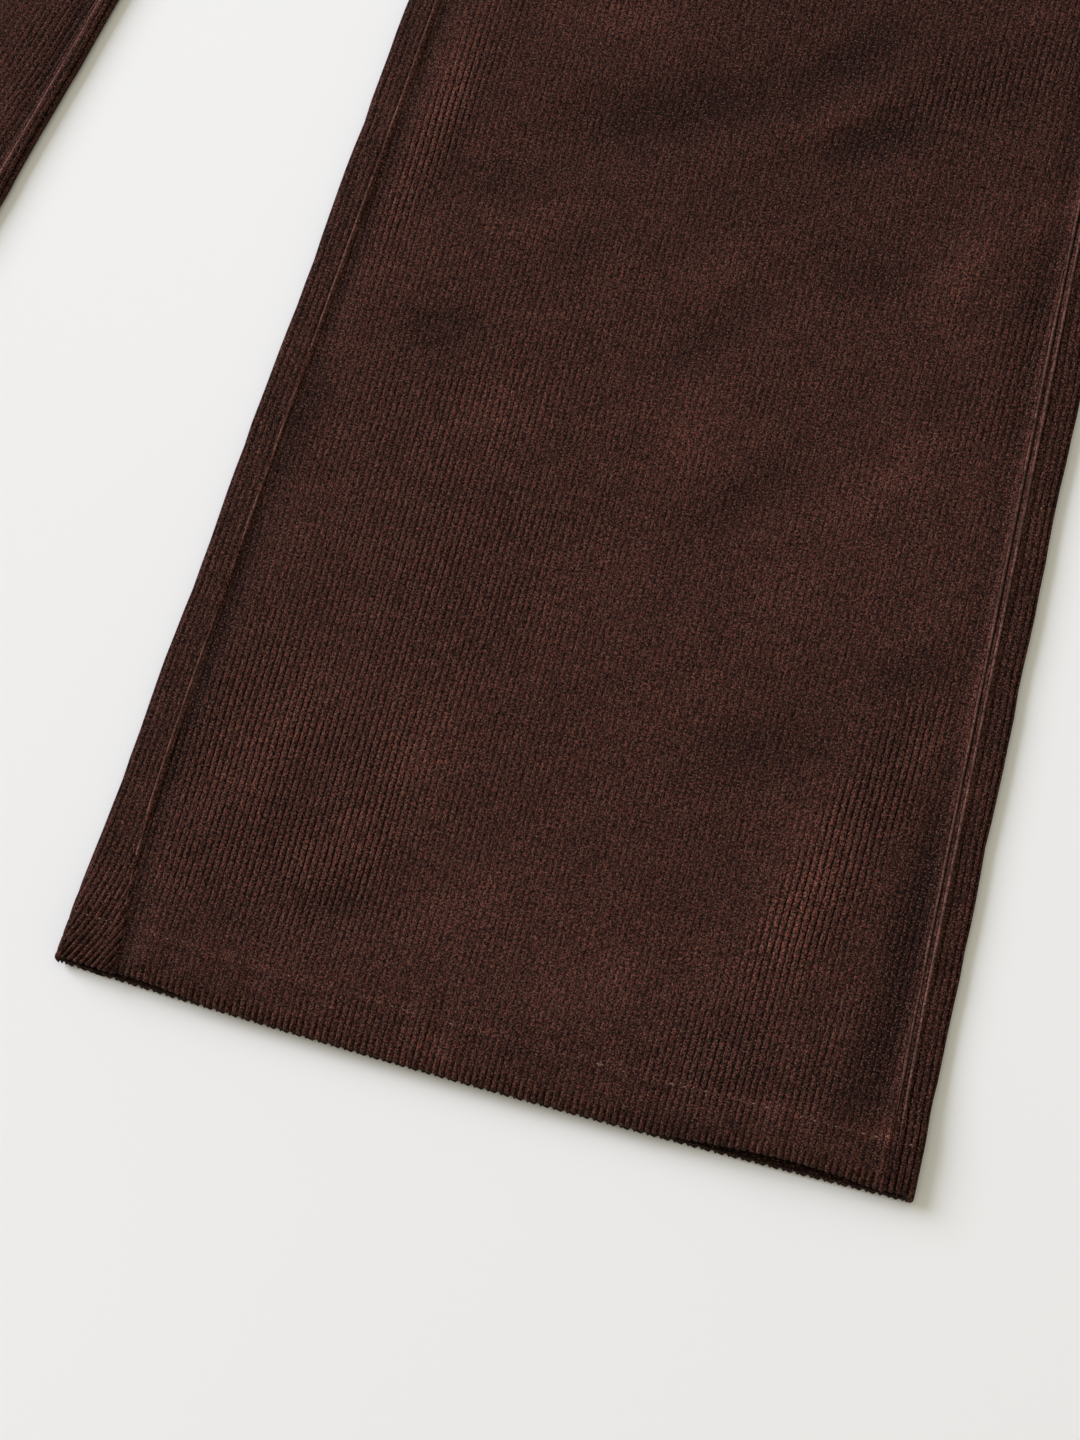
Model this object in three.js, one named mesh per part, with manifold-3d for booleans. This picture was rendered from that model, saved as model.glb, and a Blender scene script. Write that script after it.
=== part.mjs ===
// Flared corduroy trousers, laid flat with the front up. Millimetres, +Z up, +Y to the waist.
// Each leg is drawn on its own grain line: s runs up the grain from the hem and w runs square to
// it, towards the outseam. The backs wrap round both side folds, so the seams lie on top.
import * as THREE from 'three';
import Module from 'manifold-3d';
import { mergeVertices } from 'three/addons/utils/BufferGeometryUtils.js';

const CLOTH = 1.3;
const HEM_WALL = 2.4;
const BAND_WALL = 2.4;
const AIR = 1.2;
const GAP = 0.3;

const HEM_WIDTH = 237;
const HEM_DEPTH = 15;
const HEM_SETBACK = 1;
const HEM_FADE = 28;
const WALL_FADE = 3;
const HEM_CENTRE_X = 178.8;
const GRAIN_LEAN = THREE.MathUtils.degToRad(8);
const INSEAM_LEAN = THREE.MathUtils.degToRad(4.64);
const BEND_START = 430;
const CROTCH = 735;
const CROTCH_ROUND = 2;
const WAIST_SEAM = 1000;
const WAIST_TOP = 1040;
const FRONT_DIP = 12;
const DIP_START = 860;
const LAP = 25;
const UNDERLAP = 6;
const BEND_RADIUS = (WAIST_TOP - BEND_START) / GRAIN_LEAN;

// The outer fold's distance from the grain line, and how far each seam lies inside its fold.
const SECTIONS = [
  { s: 0, outer: 118.5, wrapIn: 17.5, wrapOut: 8.2 },
  { s: 15, outer: 117.8, wrapIn: 16.5, wrapOut: 8.4 },
  { s: 35, outer: 116.8, wrapIn: 13.0, wrapOut: 8.8 },
  { s: 60, outer: 115.6, wrapIn: 11.2, wrapOut: 9.2 },
  { s: 150, outer: 111.3, wrapIn: 10.2, wrapOut: 9.8 },
  { s: 300, outer: 104.1, wrapIn: 9.4, wrapOut: 10.2 },
  { s: 400, outer: 103.0, wrapIn: 9.0, wrapOut: 10.0 },
  { s: 500, outer: 116.0, wrapIn: 8.5, wrapOut: 9.5 },
  { s: 600, outer: 141.0, wrapIn: 7.5, wrapOut: 9.0 },
  { s: 730, outer: 173.0, wrapIn: 4.0, wrapOut: 8.5 },
  { s: 830, outer: 173.0, wrapIn: 4.0, wrapOut: 8.5 },
  { s: 920, outer: 152.0, wrapIn: 4.0, wrapOut: 8.5 },
  { s: 1000, outer: 119.0, wrapIn: 4.0, wrapOut: 8.0 },
  { s: 1040, outer: 112.0, wrapIn: 4.0, wrapOut: 8.0 },
];

// Soft troughs (height below 0) and ridges in the front: centre, turn from the grain, half length
// and half width, and height. The wearer's left leg lies on +X.
const CREASES_LEFT = [
  { s: 2, w: 84, turn: 90, length: 42, width: 40, height: 2.3 },
  { s: 0, w: -96, turn: 90, length: 26, width: 30, height: 1.4 },
  { s: 267, w: -24, turn: 61, length: 84, width: 18, height: -0.9 },
  { s: 279, w: 24, turn: 53, length: 42, width: 9, height: 0.6 },
  { s: 276, w: 36, turn: 56, length: 34, width: 11, height: -0.7 },
  { s: 196, w: -66, turn: 78, length: 20, width: 11, height: -0.5 },
  { s: 217, w: 14, turn: 45, length: 46, width: 12, height: -0.6 },
  { s: 254, w: 76, turn: 42, length: 40, width: 14, height: 0.9 },
  { s: 168, w: 28, turn: 43, length: 28, width: 11, height: -0.6 },
  { s: 110, w: 58, turn: 78, length: 44, width: 22, height: -0.7 },
  { s: 56, w: 68, turn: 8, length: 56, width: 20, height: 1.1 },
  { s: 95, w: -45, turn: -9, length: 56, width: 24, height: 0.9 },
  { s: 39, w: -55, turn: -73, length: 34, width: 12, height: -0.5 },
  { s: 380, w: 10, turn: 58, length: 90, width: 26, height: 1.2 },
  { s: 455, w: -30, turn: 50, length: 80, width: 22, height: -0.8 },
  { s: 560, w: 30, turn: 35, length: 110, width: 26, height: 1.3 },
  { s: 680, w: 10, turn: 52, length: 120, width: 24, height: 1.4 },
  { s: 735, w: 50, turn: 62, length: 110, width: 20, height: -0.8 },
  { s: 860, w: 70, turn: 75, length: 80, width: 26, height: 0.9 },
];
const CREASES_RIGHT = [
  { s: 1, w: 60, turn: 90, length: 48, width: 34, height: 1.6 },
  { s: 0, w: -88, turn: 90, length: 30, width: 32, height: 1.8 },
  { s: 86, w: -20, turn: 30, length: 60, width: 24, height: 0.9 },
  { s: 130, w: 66, turn: 66, length: 44, width: 18, height: -0.7 },
  { s: 205, w: 20, turn: 58, length: 90, width: 20, height: -0.8 },
  { s: 236, w: -36, turn: 48, length: 70, width: 20, height: 1.1 },
  { s: 330, w: 30, turn: 55, length: 84, width: 24, height: 1.1 },
  { s: 420, w: -20, turn: 40, length: 70, width: 22, height: -0.8 },
  { s: 520, w: 44, turn: 30, length: 120, width: 28, height: 1.2 },
  { s: 640, w: -10, turn: 50, length: 100, width: 24, height: 1.3 },
  { s: 712, w: 60, turn: 62, length: 120, width: 22, height: -0.8 },
  { s: 880, w: 60, turn: 75, length: 90, width: 24, height: 1.0 },
];

// Near a side fold, within this far of it, a trough fades out and a ridge keeps this share.
const FOLD_CALM = 22;
const FOLD_SHARE = 0.35;

// The fly: a rise that clears the zip, on both sides of the centre line.
const FLY = { flat: 15, fade: 48, bottom: 815, full: 850, height: 2.7 };

// Rows up the leg: [from, to, steps].
const LEG_ROWS = [
  [0, 15, 2],
  [15, 18, 1],
  [18, 60, 2],
  [60, 300, 12],
  [300, CROTCH - 15, 9],
  [CROTCH - 15, CROTCH + 5, 3],
  [CROTCH + 5, WAIST_SEAM - GAP, 6],
];
const FRONT_COLUMNS = 12;
const BAND_COLUMNS = { lap: 6, side: 5, lapShare: 0.4 };
const FOLD_TURNS = [90, 45, 0, -45, -90];

const ZIP_TAPE = { bottom: 836, width: 26, thick: 0.8, topGap: 2 };
const COIL = { width: 6, height: 0.8, bottomGap: 4, topGap: 16 };
const SLIDER = { length: 11, width: 9, waist: 6, shoulder: 4, thick: 2, topGap: 2 };
const TAB = { length: 26, width: 6, thick: 1.2, hole: 1.6, overlap: 3 };
const BUTTON = { radius: 8.5, thick: 2.8, edge: 0.9, rim: 2.2, dish: 0.5, x: 8, segments: 20 };

const clamp = THREE.MathUtils.clamp;
const mix = THREE.MathUtils.lerp;
const smooth = THREE.MathUtils.smoothstep;

/** A value of the section table at height s, smooth through its rows. */
function section(s, column) {
  const last = SECTIONS.length - 1;
  let i = SECTIONS.findIndex((row) => row.s > s) - 1;
  if (i < 0) {
    i = s < SECTIONS[0].s ? 0 : last - 1;
  }
  const row = (n) => SECTIONS[clamp(n, 0, last)];
  const slope = (n) => {
    const low = row(n - 1);
    const high = row(n + 1);
    return (high[column] - low[column]) / (high.s - low.s);
  };
  const span = row(i + 1).s - row(i).s;
  const t = clamp((s - row(i).s) / span, 0, 1);
  const [a, b] = [row(i)[column], row(i + 1)[column]];
  const [da, db] = [slope(i) * span, slope(i + 1) * span];
  return a + t * (da + t * (3 * (b - a) - 2 * da - db + t * (2 * (a - b) + da + db)));
}

/** How far the grain line leans towards the centre line at height s. */
function lean(s) {
  return GRAIN_LEAN - Math.max(0, s - BEND_START) / BEND_RADIUS;
}

const straightRise = BEND_START * Math.cos(GRAIN_LEAN);
const waistRise = straightRise + BEND_RADIUS * Math.sin(GRAIN_LEAN);
const hemDrop = (HEM_WIDTH / 2) * Math.sin(GRAIN_LEAN);
const HEM_CENTRE_Y = (hemDrop - waistRise) / 2;

/** The grain line's point at height s, on the +X leg. */
function grain(s) {
  const straight = Math.min(s, BEND_START);
  const at = {
    x: HEM_CENTRE_X - straight * Math.sin(GRAIN_LEAN),
    y: HEM_CENTRE_Y + straight * Math.cos(GRAIN_LEAN),
  };
  if (s > BEND_START) {
    at.x -= BEND_RADIUS * (Math.cos(lean(s)) - Math.cos(GRAIN_LEAN));
    at.y += BEND_RADIUS * (Math.sin(GRAIN_LEAN) - Math.sin(lean(s)));
  }
  return at;
}

/** The plan point at height s and distance w from the grain line; side is 1 on +X and -1 on -X. */
function plan(s, w, side) {
  const at = grain(s);
  return [side * (at.x + w * Math.cos(lean(s))), at.y + w * Math.sin(lean(s))];
}

/** The inner fold's w: the leaning inseam line, rounded at the crotch into the centre line. */
function innerEdge(s) {
  const at = grain(s);
  const across = { x: Math.cos(lean(s)), y: Math.sin(lean(s)) };
  const [hemX, hemY] = plan(0, -HEM_WIDTH / 2, 1);
  const k = Math.tan(INSEAM_LEAN);
  const onSeam = (hemX - k * (at.y - hemY) - at.x) / (across.x + k * across.y);
  const onCentre = (GAP / 2 - at.x) / across.x;
  const near = Math.max(0, 1 - Math.abs(onSeam - onCentre) / CROTCH_ROUND);
  return Math.max(onSeam, onCentre) + (near * near * CROTCH_ROUND) / 4;
}

function wallAt(s) {
  return mix(HEM_WALL, CLOTH, smooth(s, HEM_DEPTH, HEM_DEPTH + WALL_FADE));
}

/** A crease's height at a point: a soft lens, nothing beyond its length and width. */
function crease(c, s, w) {
  const turn = THREE.MathUtils.degToRad(c.turn);
  const along = ((s - c.s) * Math.cos(turn) + (w - c.w) * Math.sin(turn)) / c.length;
  const across = ((w - c.w) * Math.cos(turn) - (s - c.s) * Math.sin(turn)) / c.width;
  const bell = (t) => Math.max(0, 1 - t * t) ** 2;
  return c.height * bell(along) * bell(across);
}

function flyRise(s, w) {
  const x = Math.abs(plan(s, w, 1)[0]);
  return FLY.height * smooth(s, FLY.bottom, FLY.full) * (1 - smooth(x, FLY.flat, FLY.fade));
}

/** The top of the laid leg: two walls and the air between them, with its creases. */
function top(s, w, side) {
  const hemmed = 1 - smooth(s, HEM_DEPTH, HEM_DEPTH + HEM_FADE);
  const flat = 2 * mix(CLOTH, HEM_WALL, hemmed) + AIR;
  const creases = side > 0 ? CREASES_LEFT : CREASES_RIGHT;
  const soft = creases.reduce((sum, c) => sum + crease(c, s, w), 0);
  const edge = Math.min(w - innerEdge(s), section(s, 'outer') - w);
  const inside = s > CROTCH ? 1 : smooth(edge, 0, FOLD_CALM);
  const lift = Math.max(0, soft) * mix(FOLD_SHARE, 1, inside);
  return flat + lift + Math.min(0, soft) * inside + flyRise(s, w);
}

/** A closed wall between two grids of points. keep says which cells are cloth. */
function wall(outer, inner, keep = () => true) {
  const rows = outer.length;
  const columns = outer[0].length;
  const inside = (j, k) => j >= 0 && k >= 0 && j < rows - 1 && k < columns - 1 && keep(j, k);
  const positions = [...outer.flat(2), ...inner.flat(2)];
  const o = (j, k) => j * columns + k;
  const i = (j, k) => rows * columns + o(j, k);
  const index = [];
  const quad = (a, b, c, d) => index.push(a, b, c, a, c, d);
  for (let j = 0; j < rows - 1; j += 1) {
    for (let k = 0; k < columns - 1; k += 1) {
      if (inside(j, k)) {
        quad(o(j, k), o(j, k + 1), o(j + 1, k + 1), o(j + 1, k));
        quad(i(j, k), i(j + 1, k), i(j + 1, k + 1), i(j, k + 1));
        const rims = [
          [j - 1, k, [j, k], [j, k + 1]],
          [j, k + 1, [j, k + 1], [j + 1, k + 1]],
          [j + 1, k, [j + 1, k + 1], [j + 1, k]],
          [j, k - 1, [j + 1, k], [j, k]],
        ];
        for (const [nextJ, nextK, a, b] of rims) {
          if (!inside(nextJ, nextK)) {
            quad(o(...b), o(...a), i(...a), i(...b));
          }
        }
      }
    }
  }
  return closed(positions, index);
}

/** A geometry with its faces out and no unused points. */
function closed(positions, index) {
  const used = [...new Set(index)];
  const at = new Map(used.map((old, n) => [old, n]));
  const points = used.flatMap((n) => positions.slice(3 * n, 3 * n + 3));
  const faces = index.map((n) => at.get(n));
  let volume = 0;
  const [a, b, c] = [new THREE.Vector3(), new THREE.Vector3(), new THREE.Vector3()];
  for (let n = 0; n < faces.length; n += 3) {
    a.fromArray(points, 3 * faces[n]);
    b.fromArray(points, 3 * faces[n + 1]);
    c.fromArray(points, 3 * faces[n + 2]);
    volume += a.dot(b.cross(c));
  }
  const geometry = new THREE.BufferGeometry();
  geometry.setAttribute('position', new THREE.Float32BufferAttribute(points, 3));
  geometry.setIndex(volume > 0 ? faces : faces.reverse());
  geometry.computeVertexNormals();
  return geometry;
}

function steps(spans) {
  const list = [spans[0][0]];
  for (const [from, to, count] of spans) {
    for (let n = 1; n <= count; n += 1) {
      list.push(mix(from, to, n / count));
    }
  }
  return list;
}

/** How much lower than the back the front is cut at the waist, at plan distance x. */
function dip(s, x) {
  const share = clamp(Math.abs(x) / plan(WAIST_SEAM, section(WAIST_SEAM, 'outer'), 1)[0], 0, 1);
  return FRONT_DIP * (1 - share * share) * smooth(s, DIP_START, WAIST_SEAM);
}

/** A front leg panel, from hem to waist seam and from inseam to outseam. */
function frontPanel(side) {
  const outer = [];
  const inner = [];
  for (const row of steps(LEG_ROWS)) {
    const start = innerEdge(row) + (row > CROTCH ? 0 : section(row, 'wrapIn') + GAP);
    const end = section(row, 'outer') - section(row, 'wrapOut') - GAP;
    const setback = row === 0 ? HEM_SETBACK : 0;
    const points = steps([[start, end, FRONT_COLUMNS - 1]]).map((w) => {
      const s = row + setback - dip(row, plan(row, w, side)[0]);
      return [...plan(s, w, side), top(s, w, side), wallAt(s)];
    });
    outer.push(points.map(([x, y, z]) => [x, y, z]));
    inner.push(points.map(([x, y, z, thick]) => [x, y, z - thick]));
  }
  return wall(outer, inner);
}

/** Half a folded section: from the seam on top, round the fold, to the underside.
 * fold is the fold's w, out is 1 where it faces +w, and seam is how far inside it the seam lies. */
function foldPoints(s, fold, out, seam, thick, side) {
  const height = top(s, fold, side);
  const r = height / 2;
  const w = fold - out * seam;
  const z = top(s, w, side);
  const atSeam = { outer: [w, z], inner: [w, z - thick] };
  const round = FOLD_TURNS.map((degrees) => {
    const angle = THREE.MathUtils.degToRad(degrees);
    const at = (radius) => [fold - out * (r - radius * Math.cos(angle)), r + radius * Math.sin(angle)];
    return { outer: at(r), inner: at(r - thick) };
  });
  return [atSeam, ...round];
}

/** A back leg panel: an open ring round the leg, cut off flat at the seat seam above the crotch. */
function backPanel(side) {
  const rows = steps(LEG_ROWS);
  const outer = [];
  const inner = [];
  for (const s of rows) {
    const thick = wallAt(s);
    const [a, b] = [innerEdge(s), section(s, 'outer')];
    const inFold = foldPoints(s, a, -1, section(s, 'wrapIn'), thick, side);
    const outFold = foldPoints(s, b, 1, section(s, 'wrapOut'), thick, side).reverse();
    if (s > CROTCH) {
      inFold[inFold.length - 1] = { outer: [a, 0], inner: [a, thick] };
    }
    const under = [0.25, 0.5, 0.75].map((share) => {
      const w = mix(a, b, share);
      return { outer: [w, 0], inner: [w, thick] };
    });
    const ring = [...inFold, ...under, ...outFold];
    const place = ([w, z]) => [...plan(s, w, side), z];
    outer.push(ring.map((p) => place(p.outer)));
    inner.push(ring.map((p) => place(p.inner)));
  }
  return wall(outer, inner, (j, k) => k >= FOLD_TURNS.length || rows[j + 1] <= CROTCH);
}

const BAND_TOP = 2 * BAND_WALL + AIR;
const LAP_RISE = { low: -44, high: -12 };
const BAND_ROWS = [WAIST_SEAM, (WAIST_SEAM + WAIST_TOP) / 2, WAIST_TOP];

/** The back waistband: one strip across, wrapping round both sides on to the front. */
function backBand() {
  const outer = [];
  const inner = [];
  for (const s of BAND_ROWS) {
    const b = section(s, 'outer');
    const r = BAND_TOP / 2;
    const seam = section(s, 'wrapOut');
    const half = [{ outer: [b - seam, BAND_TOP], inner: [b - seam, BAND_TOP - BAND_WALL] }];
    for (const degrees of FOLD_TURNS) {
      const angle = THREE.MathUtils.degToRad(degrees);
      const at = (radius) => [b - r + radius * Math.cos(angle), r + radius * Math.sin(angle)];
      half.push({ outer: at(r), inner: at(r - BAND_WALL) });
    }
    half.push({ outer: [b / 2, 0], inner: [b / 2, BAND_WALL] });
    const place = (side, key) => (p) => [...plan(s, p[key][0], side), p[key][1]];
    const line = (key) => [...half.map(place(-1, key)), ...half.map(place(1, key)).reverse()];
    outer.push(line('outer'));
    inner.push(line('inner'));
  }
  return wall(outer, inner);
}

/** A front waistband half. The -X half laps over the other one at the centre. */
function frontBand(side) {
  const outer = [];
  const inner = [];
  for (const row of BAND_ROWS) {
    const centre = plan(row, 0, 1)[0];
    const start = -centre - (side < 0 ? LAP : UNDERLAP);
    const end = section(row, 'outer') - section(row, 'wrapOut') - GAP;
    const turn = mix(start, end, BAND_COLUMNS.lapShare);
    const line = steps([[start, turn, BAND_COLUMNS.lap], [turn, end, BAND_COLUMNS.side]]);
    const points = line.map((w) => {
      const x = plan(row, w, side)[0];
      const s = Math.min(row + GAP, WAIST_TOP) - dip(row, x);
      const over = side < 0 ? smooth(x, LAP_RISE.low, LAP_RISE.high) : 0;
      return [x, plan(s, w, side)[1], BAND_TOP + (BAND_WALL + GAP) * over];
    });
    outer.push(points);
    inner.push(points.map(([x, y, z]) => [x, y, z - BAND_WALL]));
  }
  return wall(outer, inner);
}

function extruded(outline, low, thick) {
  const shape = new THREE.Shape(outline.map(([x, y]) => new THREE.Vector2(x, y)));
  const geometry = new THREE.ExtrudeGeometry(shape, { depth: thick, bevelEnabled: false });
  return geometry.translate(0, 0, low);
}

const ZIP_LOW = CLOTH + GAP;
const ZIP_TOP_Y = grain(WAIST_SEAM - FRONT_DIP - ZIP_TAPE.topGap).y;

/** The zip's tape, with its coil as a low ridge down the middle. */
function zipTape() {
  const bottom = grain(ZIP_TAPE.bottom).y;
  const [half, coil] = [ZIP_TAPE.width / 2, COIL.width / 2];
  const tape = extruded(
    [[-half, bottom], [half, bottom], [half, ZIP_TOP_Y], [-half, ZIP_TOP_Y]],
    ZIP_LOW,
    ZIP_TAPE.thick,
  );
  const [coilLow, coilHigh] = [bottom + COIL.bottomGap, ZIP_TOP_Y - COIL.topGap];
  const ridge = extruded(
    [[-coil, coilLow], [coil, coilLow], [coil, coilHigh], [-coil, coilHigh]],
    ZIP_LOW + ZIP_TAPE.thick / 2,
    ZIP_TAPE.thick / 2 + COIL.height,
  );
  return joined(tape, ridge);
}

/** The slider, closed at the top of the zip, with its tab lying down the coil. */
function zipSlider() {
  const low = ZIP_LOW + ZIP_TAPE.thick + GAP;
  const high = ZIP_TOP_Y - SLIDER.topGap;
  const bottom = high - SLIDER.length;
  const shoulder = high - SLIDER.shoulder;
  const [half, waist] = [SLIDER.width / 2, SLIDER.waist / 2];
  const body = extruded(
    [[-waist, bottom], [waist, bottom], [half, shoulder], [waist, high], [-waist, high], [-half, shoulder]],
    low,
    SLIDER.thick,
  );
  const r = TAB.width / 2;
  const tip = bottom - TAB.length + r;
  const outline = new THREE.Shape();
  outline.moveTo(-r, bottom + TAB.overlap);
  outline.lineTo(-r, tip);
  outline.absarc(0, tip, r, Math.PI, 2 * Math.PI, false);
  outline.lineTo(r, bottom + TAB.overlap);
  const hole = new THREE.Path().absarc(0, tip, TAB.hole, 0, 2 * Math.PI, true);
  outline.holes.push(hole);
  const tab = new THREE.ExtrudeGeometry(outline, {
    depth: TAB.thick,
    bevelEnabled: false,
    curveSegments: 8,
  });
  tab.translate(0, 0, low + SLIDER.thick - TAB.thick);
  return joined(body, tab);
}

const wasm = await Module();
wasm.setup();

function solid(geometry) {
  const bare = geometry.clone();
  bare.deleteAttribute('normal');
  bare.deleteAttribute('uv');
  const merged = mergeVertices(bare);
  const vertProperties = new Float32Array(merged.attributes.position.array);
  const triVerts = new Uint32Array(merged.index.array);
  return new wasm.Manifold(new wasm.Mesh({ numProp: 3, vertProperties, triVerts }));
}

function joined(a, b) {
  const mesh = solid(a).add(solid(b)).getMesh();
  const geometry = new THREE.BufferGeometry();
  geometry.setAttribute('position', new THREE.BufferAttribute(mesh.vertProperties, 3));
  geometry.setIndex(new THREE.BufferAttribute(mesh.triVerts, 1));
  geometry.computeVertexNormals();
  return geometry;
}

/** The waist button: a disc with a rounded edge and a shallow dish. */
function waistButton() {
  const { radius, thick, edge, rim, dish } = BUTTON;
  const profile = [
    [0, 0],
    [radius - edge, 0],
    [radius, edge],
    [radius, thick - edge],
    [radius - edge, thick],
    [radius - rim, thick - dish],
    [0, thick - dish],
  ];
  const points = profile.map(([x, y]) => new THREE.Vector2(x, y));
  return new THREE.LatheGeometry(points, BUTTON.segments).rotateX(Math.PI / 2);
}

const CORDUROY = { color: 0x3c2620, roughness: 0.95, metalness: 0 };
const TAPE = { color: 0x2c1c18, roughness: 0.8, metalness: 0 };
const BRASS = { color: 0x8a6f3c, roughness: 0.35, metalness: 0.9 };
const HORN = { color: 0x2a1a14, roughness: 0.4, metalness: 0 };

const trousers = new THREE.Group();

function add(name, geometry, look) {
  const mesh = new THREE.Mesh(geometry, new THREE.MeshStandardMaterial(look));
  mesh.name = name;
  trousers.add(mesh);
  return mesh;
}

for (const [name, side] of [['left', 1], ['right', -1]]) {
  add(`front_${name}`, frontPanel(side), CORDUROY);
  add(`back_${name}`, backPanel(side), CORDUROY);
  add(`waistband_front_${name}`, frontBand(side), CORDUROY);
}
add('waistband_back', backBand(), CORDUROY);
add('zip_tape', zipTape(), TAPE);
add('zip_slider', zipSlider(), BRASS);
const button = add('waist_button', waistButton(), HORN);
const buttonY = grain((WAIST_SEAM + WAIST_TOP) / 2 - FRONT_DIP).y;
button.position.set(BUTTON.x, buttonY, BAND_TOP + BAND_WALL + 2 * GAP);

export default trousers;
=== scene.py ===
"""Flared corduroy trousers, laid flat with the front up: the looks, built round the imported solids.

Sizes are in millimetres until a mesh is made. Each leg is drawn on its own grain line: s runs up
the grain from the hem and w runs square to it, towards the outseam. Every wale, 1.81 mm wide, is
real relief, and the pile on it is in the material.
"""

import math

import bpy
import numpy as np
from mathutils import Matrix, Vector


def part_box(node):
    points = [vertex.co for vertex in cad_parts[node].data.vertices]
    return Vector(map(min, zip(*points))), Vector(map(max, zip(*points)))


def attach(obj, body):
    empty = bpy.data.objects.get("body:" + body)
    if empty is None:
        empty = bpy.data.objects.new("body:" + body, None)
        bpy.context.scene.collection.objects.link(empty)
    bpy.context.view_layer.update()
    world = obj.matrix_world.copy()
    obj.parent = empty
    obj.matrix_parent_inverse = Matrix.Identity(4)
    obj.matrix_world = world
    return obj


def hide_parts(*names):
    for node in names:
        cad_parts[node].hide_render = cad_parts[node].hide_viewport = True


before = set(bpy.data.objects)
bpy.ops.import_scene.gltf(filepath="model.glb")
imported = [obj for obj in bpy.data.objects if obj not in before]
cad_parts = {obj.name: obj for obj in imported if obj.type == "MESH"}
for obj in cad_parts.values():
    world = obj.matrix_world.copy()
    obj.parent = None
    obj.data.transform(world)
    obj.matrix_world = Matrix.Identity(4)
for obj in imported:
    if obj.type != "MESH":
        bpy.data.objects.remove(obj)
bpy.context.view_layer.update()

MM = 0.001

# ---- Sizes of the garment, as its solids have them ----

CLOTH = 1.3
HEM_WALL = 2.4
BAND_WALL = 2.4
AIR = 1.2
GAP = 0.3
HEM_WIDTH = 237.0
HEM_DEPTH = 15.0
HEM_CENTRE_X = 178.8
GRAIN_LEAN = math.radians(8)
INSEAM_LEAN = math.radians(4.64)
BEND_START = 430.0
CROTCH = 735.0
CROTCH_ROUND = 2.0
WAIST_SEAM = 1000.0
WAIST_TOP = 1040.0
FRONT_DIP = 12.0
LAP = 25.0
UNDERLAP = 6.0
LAP_RISE = (-44, -12)
BAND_TOP = 2 * BAND_WALL + AIR
BEND_RADIUS = (WAIST_TOP - BEND_START) / GRAIN_LEAN
WALE = 25.4 / 14

# Height up the grain: the outer fold's distance from the grain line, and how far the inseam and
# the outseam lie inside their folds.
SECTIONS = {
    "s": (0, 15, 35, 60, 150, 300, 400, 500, 600, 730, 830, 920, 1000, 1040),
    "outer": (118.5, 117.8, 116.8, 115.6, 111.3, 104.1, 103, 116, 141, 173, 173, 152, 119, 112),
    "wrap_in": (17.5, 16.5, 13, 11.2, 10.2, 9.4, 9, 8.5, 7.5, 4, 4, 4, 4, 4),
    "wrap_out": (8.2, 8.4, 8.8, 9.2, 9.8, 10.2, 10, 9.5, 9, 8.5, 8.5, 8.5, 8, 8),
}

# Soft troughs (height below 0) and ridges in each front: centre s and w, turn from the grain in
# degrees, half length, half width, height.
CREASES = {
    1: (
        (2, 84, 90, 42, 40, 2.3),
        (0, -96, 90, 26, 30, 1.4),
        (267, -24, 61, 84, 18, -0.9),
        (279, 24, 53, 42, 9, 0.6),
        (276, 36, 56, 34, 11, -0.7),
        (196, -66, 78, 20, 11, -0.5),
        (217, 14, 45, 46, 12, -0.6),
        (254, 76, 42, 40, 14, 0.9),
        (168, 28, 43, 28, 11, -0.6),
        (110, 58, 78, 44, 22, -0.7),
        (56, 68, 8, 56, 20, 1.1),
        (95, -45, -9, 56, 24, 0.9),
        (39, -55, -73, 34, 12, -0.5),
        (380, 10, 58, 90, 26, 1.2),
        (455, -30, 50, 80, 22, -0.8),
        (560, 30, 35, 110, 26, 1.3),
        (680, 10, 52, 120, 24, 1.4),
        (735, 50, 62, 110, 20, -0.8),
        (860, 70, 75, 80, 26, 0.9),
    ),
    -1: (
        (1, 60, 90, 48, 34, 1.6),
        (0, -88, 90, 30, 32, 1.8),
        (86, -20, 30, 60, 24, 0.9),
        (130, 66, 66, 44, 18, -0.7),
        (205, 20, 58, 90, 20, -0.8),
        (236, -36, 48, 70, 20, 1.1),
        (330, 30, 55, 84, 24, 1.1),
        (420, -20, 40, 70, 22, -0.8),
        (520, 44, 30, 120, 28, 1.2),
        (640, -10, 50, 100, 24, 1.3),
        (712, 60, 62, 120, 22, -0.8),
        (880, 60, 75, 90, 24, 1.0),
    ),
}
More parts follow.
